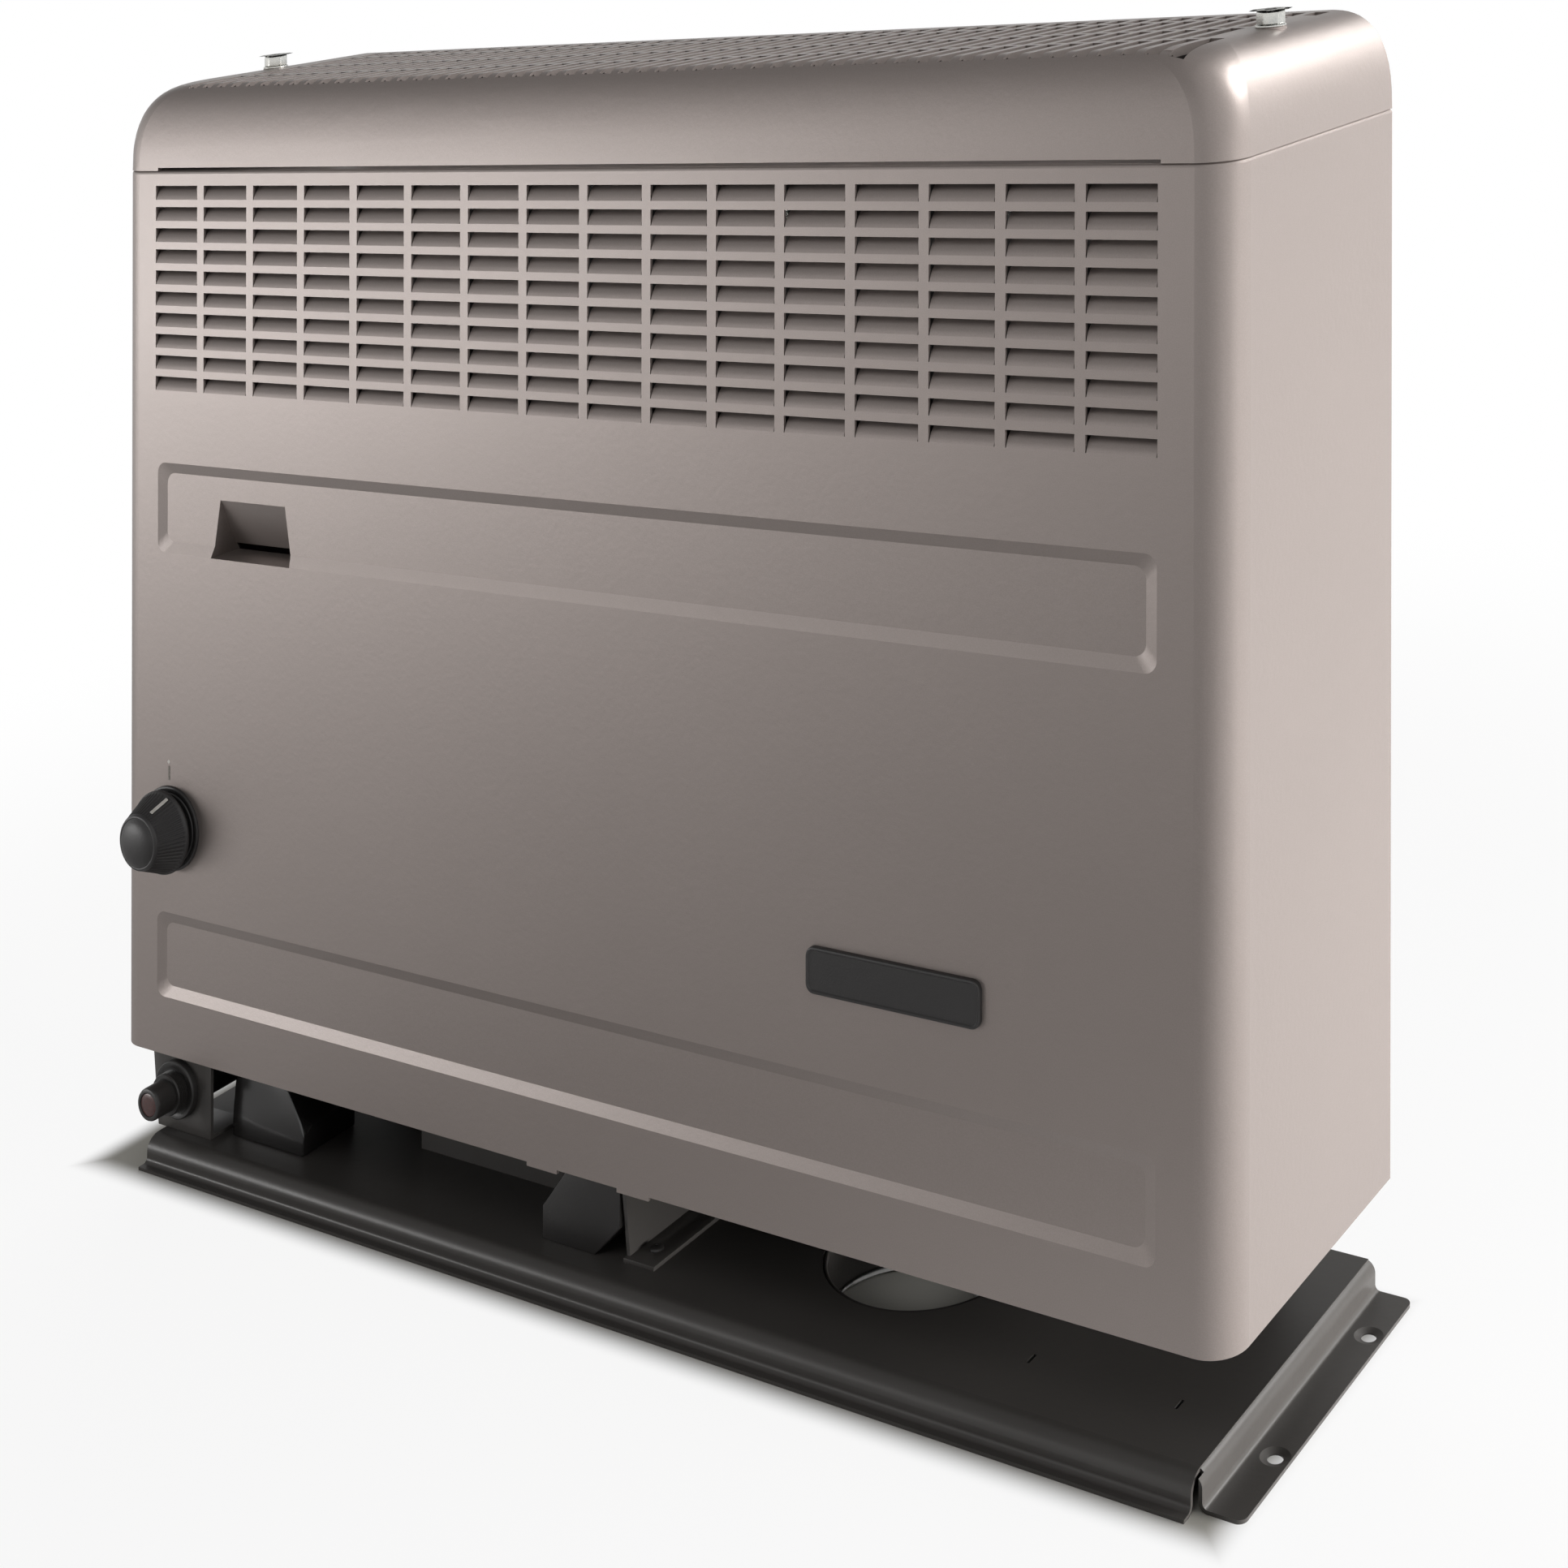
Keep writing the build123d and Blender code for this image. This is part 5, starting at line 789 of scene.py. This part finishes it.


# %% [markdown]
# ## The floor duct
# Through the tray's large hole a duct carries warm air down through the floor of the vehicle. Its wall takes
# the tray's black enamel as painted shade, for the shadow inside the duct, and only its bare lower edge
# shines as a thin bright arc. So the wall and the edge are two ring-drawn pieces with two finishes. The duct
# on the
# CAD side is straight and wider. Here the wall narrows and its foot is drawn forward, only so that the arc
# shows where it does in the picture. That is a departure from the CAD shape. A straight wall of 32.6 mm
# without the lean would follow it.

# %% Duct wall and its bright edge
DUCT_CENTRE = at(102.4, 55.1, 0.0)
DUCT_LEAN = Vector((0.0029, -0.0171, 0.0))
LEAN_TOP, LEAN_FOOT = 8.2 * MM, 1.0 * MM


def lean_forward(piece):
    """Draws the foot of a ring forward by the lean, and leaves what lies above the lean's top in place."""
    for vertex in piece.data.vertices:
        share = (LEAN_TOP - vertex.co.z) / (LEAN_TOP - LEAN_FOOT)
        vertex.co += DUCT_LEAN * min(max(share, 0.0), 1.0)


duct = turned("duct_wall", DUCT_CENTRE, UP, [
    (24.6, 1.5), (26.2, 2.1), (30.0, 3.6), (32.2, 5.8), (32.6, 8.4), (32.6, 9.9), (32.8, 10.3),
    (33.3, 10.45), (33.8, 10.3), (34.0, 9.9), (34.0, 9.35), (37.0, 9.35), (37.2, 9.1), (37.2, 8.5),
    (37.0, 8.25), (34.0, 8.25), (33.6, 5.6), (31.4, 3.0), (26.8, 1.2), (25.0, 0.9), (24.6, 1.5)],
    sides=128)
lean_forward(duct)
# The wall's black enamel is painted shade for the shadow inside the duct.
settled(duct, "black_enamel", "heater", ("duct_collar",))
edge_ring = turned("duct_bright_edge", DUCT_CENTRE, UP, [
    (24.2, 0.45), (23.8, 0.8), (23.7, 1.3), (23.9, 1.75), (24.4, 1.9), (24.8, 1.6), (25.0, 1.0), (24.8, 0.5),
    (24.2, 0.45)], sides=128)
lean_forward(edge_ring)
settled(edge_ring, "bright_steel")


# %% [markdown]
# The small screws on the tray are blackened and round headed. One is ring-drawn, with a small dimple in its
# head for the driver, and copied to each place, which is read from the middle of the CAD screws.

# %% Screws on the tray
def screw_places():
    """The middles of the separate shapes in the CAD node of the tray's screws."""
    shapes = bmesh.new()
    shapes.from_mesh(nodes["tray_screws"].data)
    bmesh.ops.remove_doubles(shapes, verts=shapes.verts, dist=COPY_MERGE_DISTANCE)
    left, places = set(shapes.verts), []
    while left:
        group, todo = [], [left.pop()]
        while todo:
            point = todo.pop()
            group.append(point.co.copy())
            for edge in point.link_edges:
                other = edge.other_vert(point)
                if other in left:
                    left.remove(other)
                    todo.append(other)
        low = Vector([min(point[axis] for point in group) for axis in range(3)])
        top = Vector([max(point[axis] for point in group) for axis in range(3)])
        places.append(Vector(((low.x + top.x) / 2, (low.y + top.y) / 2, top.z)))
    shapes.free()
    return sorted(places, key=lambda place: (round(place.x, 4), place.y))


first_screw = None
for number, place in enumerate(screw_places(), 1):
    if first_screw is None:
        first_screw = turned(f"tray_screw_{number}", place, UP, [
            (0, -6.0), (1.45, -6.0), (1.45, -1.2), (2.55, -1.2), (2.6, -0.95), (2.4, -0.5), (1.9, -0.15),
            (1.2, -0.02), (0.7, -0.02), (0.6, -0.35), (0, -0.35)], sides=24)
        first_place = place.copy()
        settled(first_screw, "satin_black", "heater", ("tray_screws",))
        continue
    screw = bpy.data.objects.new(f"tray_screw_{number}", first_screw.data.copy())
    bpy.context.scene.collection.objects.link(screw)
    screw.data.transform(Matrix.Translation(place - first_place))
    settled(screw, "satin_black", "heater", ("tray_screws",))


# %% [markdown]
# ## Floor
# The heater stands on a plain pale floor. For the camera the floor shines by itself, so that it comes out
# white with only a faint shadow close to the heater. Mirrored in gloss it is brighter at the right and far
# away than near and at the left, which gives the tray its uneven sheen. The patch under the heater, which
# shows only through the duct, is painted a darker brownish grey without that shine: painted shade for the
# shadow under the heater.

# %% Pale floor
UNDER_X, UNDER_Y = (0.238, 0.252), (0.056, 0.070)
LIT_SIDE, FAR_AWAY, SHADOW_REACH = (-0.15, 0.15), (0.7, 1.5), (0.4, 0.9)
PALE_DARKER, PALE_LIGHTER, SHADE_UNDER_HEATER = (0.80, 0.80, 0.80), (0.83, 0.83, 0.83), (0.43, 0.42, 0.385)


def pale_floor():
    """The floor's material: a matt pale ground, painted darker under the heater as shade, mixed with a glow
    for the camera and for gloss.
    """
    material, start, shader, place = finish("pale_floor")
    tree = start.tree
    grain = noise(start, place, 0.002, 2.0)
    shader.inputs["Specular IOR Level"].default_value = 0.0
    path = tree.nodes.new("ShaderNodeLightPath")
    camera_ray, glossy_ray, glass_ray = (Wire(tree, path.outputs[f"Is {kind} Ray"])
                                         for kind in ("Camera", "Glossy", "Transmission"))
    apart = tree.nodes.new("ShaderNodeSeparateXYZ")
    tree.links.new(place.socket, apart.inputs["Vector"])
    across, back = Wire(tree, apart.outputs["X"]), Wire(tree, apart.outputs["Y"])
    beside = across.maths("ABSOLUTE", across).ramp(*UNDER_X)
    before = back.maths("ABSOLUTE", back).ramp(*UNDER_Y)
    outside = beside.maths("MAXIMUM", beside, before)
    lit_side = (across * 0.6 + back * 0.8).ramp(*LIT_SIDE)
    distance = (across * across + back * back) ** 0.5
    in_gloss = lit_side * 0.85 + distance.ramp(*FAR_AWAY) * 0.6 + 0.1
    mirrored = glossy_ray.maths("MAXIMUM", glossy_ray, glass_ray) * in_gloss
    pale = grain.tint(PALE_DARKER, PALE_LIGHTER)
    # Under the heater the floor is painted a darker grey: painted shade for the shadow beneath it.
    set_finish(shader, start, base_color=outside.tint(SHADE_UNDER_HEATER, pale), roughness=0.9)
    share = (camera_ray * (distance.ramp(*SHADOW_REACH) * 0.1 + 0.9) + mirrored) * outside
    glow = tree.nodes.new("ShaderNodeEmission")
    glow.inputs["Strength"].default_value = 1.0
    mixed = tree.nodes.new("ShaderNodeMixShader")
    tree.links.new(share.limited().socket, mixed.inputs["Fac"])
    tree.links.new(shader.outputs["BSDF"], mixed.inputs[1])
    tree.links.new(glow.outputs["Emission"], mixed.inputs[2])
    tree.links.new(mixed.outputs["Shader"], tree.nodes["Material Output"].inputs["Surface"])
    return material


start_alone()
bpy.ops.mesh.primitive_plane_add(size=40.0, location=(0.0, 0.0, 0.0))
floor = bpy.context.object
floor.name = "studio_floor"
floor.data.materials.append(pale_floor())
print("floor laid")


# %% [markdown]
# ## Room
# The room is white for the camera and in gloss, and gives the heater itself only a weak light from all sides.
# High up at the left its mirror image is dimmed, because the lid would look too pale there.

# %% White room
WARM_WHITE, ROOM_LIGHT = (1.0, 0.985, 0.97), 0.11
HIGH_UP, LEFT_TO_MIDDLE, DIMMING = (0.08, 0.42), (0.0, 0.3), 0.7
world = bpy.data.worlds.new("white_room")
bpy.context.scene.world = world
world.use_nodes = True
room = world.node_tree
room.nodes.clear()
output = room.nodes.new("ShaderNodeOutputWorld")
path = room.nodes.new("ShaderNodeLightPath")
soft = room.nodes.new("ShaderNodeBackground")
soft.inputs["Color"].default_value = (*WARM_WHITE, 1.0)
soft.inputs["Strength"].default_value = ROOM_LIGHT
white = room.nodes.new("ShaderNodeBackground")
white.inputs["Color"].default_value = (1.0, 1.0, 1.0, 1.0)
white.inputs["Strength"].default_value = 1.0
seen, in_gloss, through_glass = (Wire(room, path.outputs[f"Is {kind} Ray"])
                                 for kind in ("Camera", "Glossy", "Transmission"))
either = seen.maths("MAXIMUM", seen, in_gloss)
either = either.maths("MAXIMUM", either, through_glass)
sky = Wire(room, room.nodes.new("ShaderNodeTexCoord").outputs["Generated"])
apart = room.nodes.new("ShaderNodeSeparateXYZ")
room.links.new(sky.socket, apart.inputs["Vector"])
overhead = Wire(room, apart.outputs["Z"]).ramp(*HIGH_UP)
to_the_left = 1 - Wire(room, apart.outputs["X"]).ramp(*LEFT_TO_MIDDLE)
either = either * (1 - overhead * to_the_left * (1 - seen) * DIMMING)
mixer = room.nodes.new("ShaderNodeMixShader")
room.links.new(either.socket, mixer.inputs["Fac"])
room.links.new(soft.outputs["Background"], mixer.inputs[1])
room.links.new(white.outputs["Background"], mixer.inputs[2])
room.links.new(mixer.outputs["Shader"], output.inputs["Surface"])
print("room set")


# %% [markdown]
# ## Lamps
# Eight soft lamps light the heater. Two low ones at the right light its side wall and the foot of the tray,
# one at the front left gives the broad sheen on the left of the front, and one in front and one behind light
# the tray and the lid. Two at the right show only in gloss: they make the gleam on the rounded corner and
# along the lid. The right, low, front and back lamps are left out of gloss, where they would show as hard
# patches. A very small lamp in the duct lights the patch of floor seen through it. The last line keeps
# colours as they are written.

# %% Soft lamps
MILD_WHITE, FAINT_WARM = (1.0, 0.99, 0.98), (1.0, 0.99, 0.985)


def lamp(name, place, aim, width, height, power, colour=(1.0, 1.0, 1.0), hidden_in=None):
    """A soft rectangular lamp that faces a point, and may be hidden in glossy or in diffuse light."""
    data = bpy.data.lights.new(name, "AREA")
    data.shape = "RECTANGLE"
    data.size, data.size_y = width, height
    data.energy = power
    data.color = colour
    made = bpy.data.objects.new(name, data)
    made.location = place
    made.rotation_mode = "QUATERNION"
    made.rotation_quaternion = (Vector(aim) - Vector(place)).to_track_quat("-Z", "Y")
    made.visible_camera = False
    made.visible_glossy = hidden_in != "glossy"
    made.visible_diffuse = hidden_in != "diffuse"
    bpy.context.scene.collection.objects.link(made)
    print(name, "at", power, "W")


lamp("right_lamp", (1.20, 0.25, 0.18), (0.25, 0.0, 0.10), 0.9, 0.34, 20.0, WARM_WHITE, "glossy")
lamp("low_lamp", (0.70, 0.16, 0.02), (0.25, 0.05, 0.08), 0.5, 0.03, 3.0, WARM_WHITE, "glossy")
lamp("corner_lamp", (0.98, 0.66, 1.12), (0.24, -0.04, 0.4), 0.6, 0.6, 24.0, MILD_WHITE, "diffuse")
lamp("edge_lamp", (0.64, 1.32, 1.0), (0.24, 0.0, 0.41), 0.9, 0.4, 3.6, MILD_WHITE, "diffuse")
lamp("left_lamp", (-1.35, -1.10, 0.16), (-0.1, 0.0, 0.2), 0.9, 0.28, 8.0, FAINT_WARM)
lamp("front_lamp", (0.3, -0.55, 0.95), (0.1, -0.02, 0.01), 0.5, 0.5, 1.3, FAINT_WARM, "glossy")
lamp("back_lamp", (-1.2, 1.6, 1.15), (0.0, 0.0, 0.4), 1.4, 0.8, 22.0, FAINT_WARM, "glossy")
lamp("duct_lamp", DUCT_CENTRE + UP * 0.013, DUCT_CENTRE, 0.03, 0.03, 0.0007)
bpy.context.scene.view_settings.view_transform = "Standard"
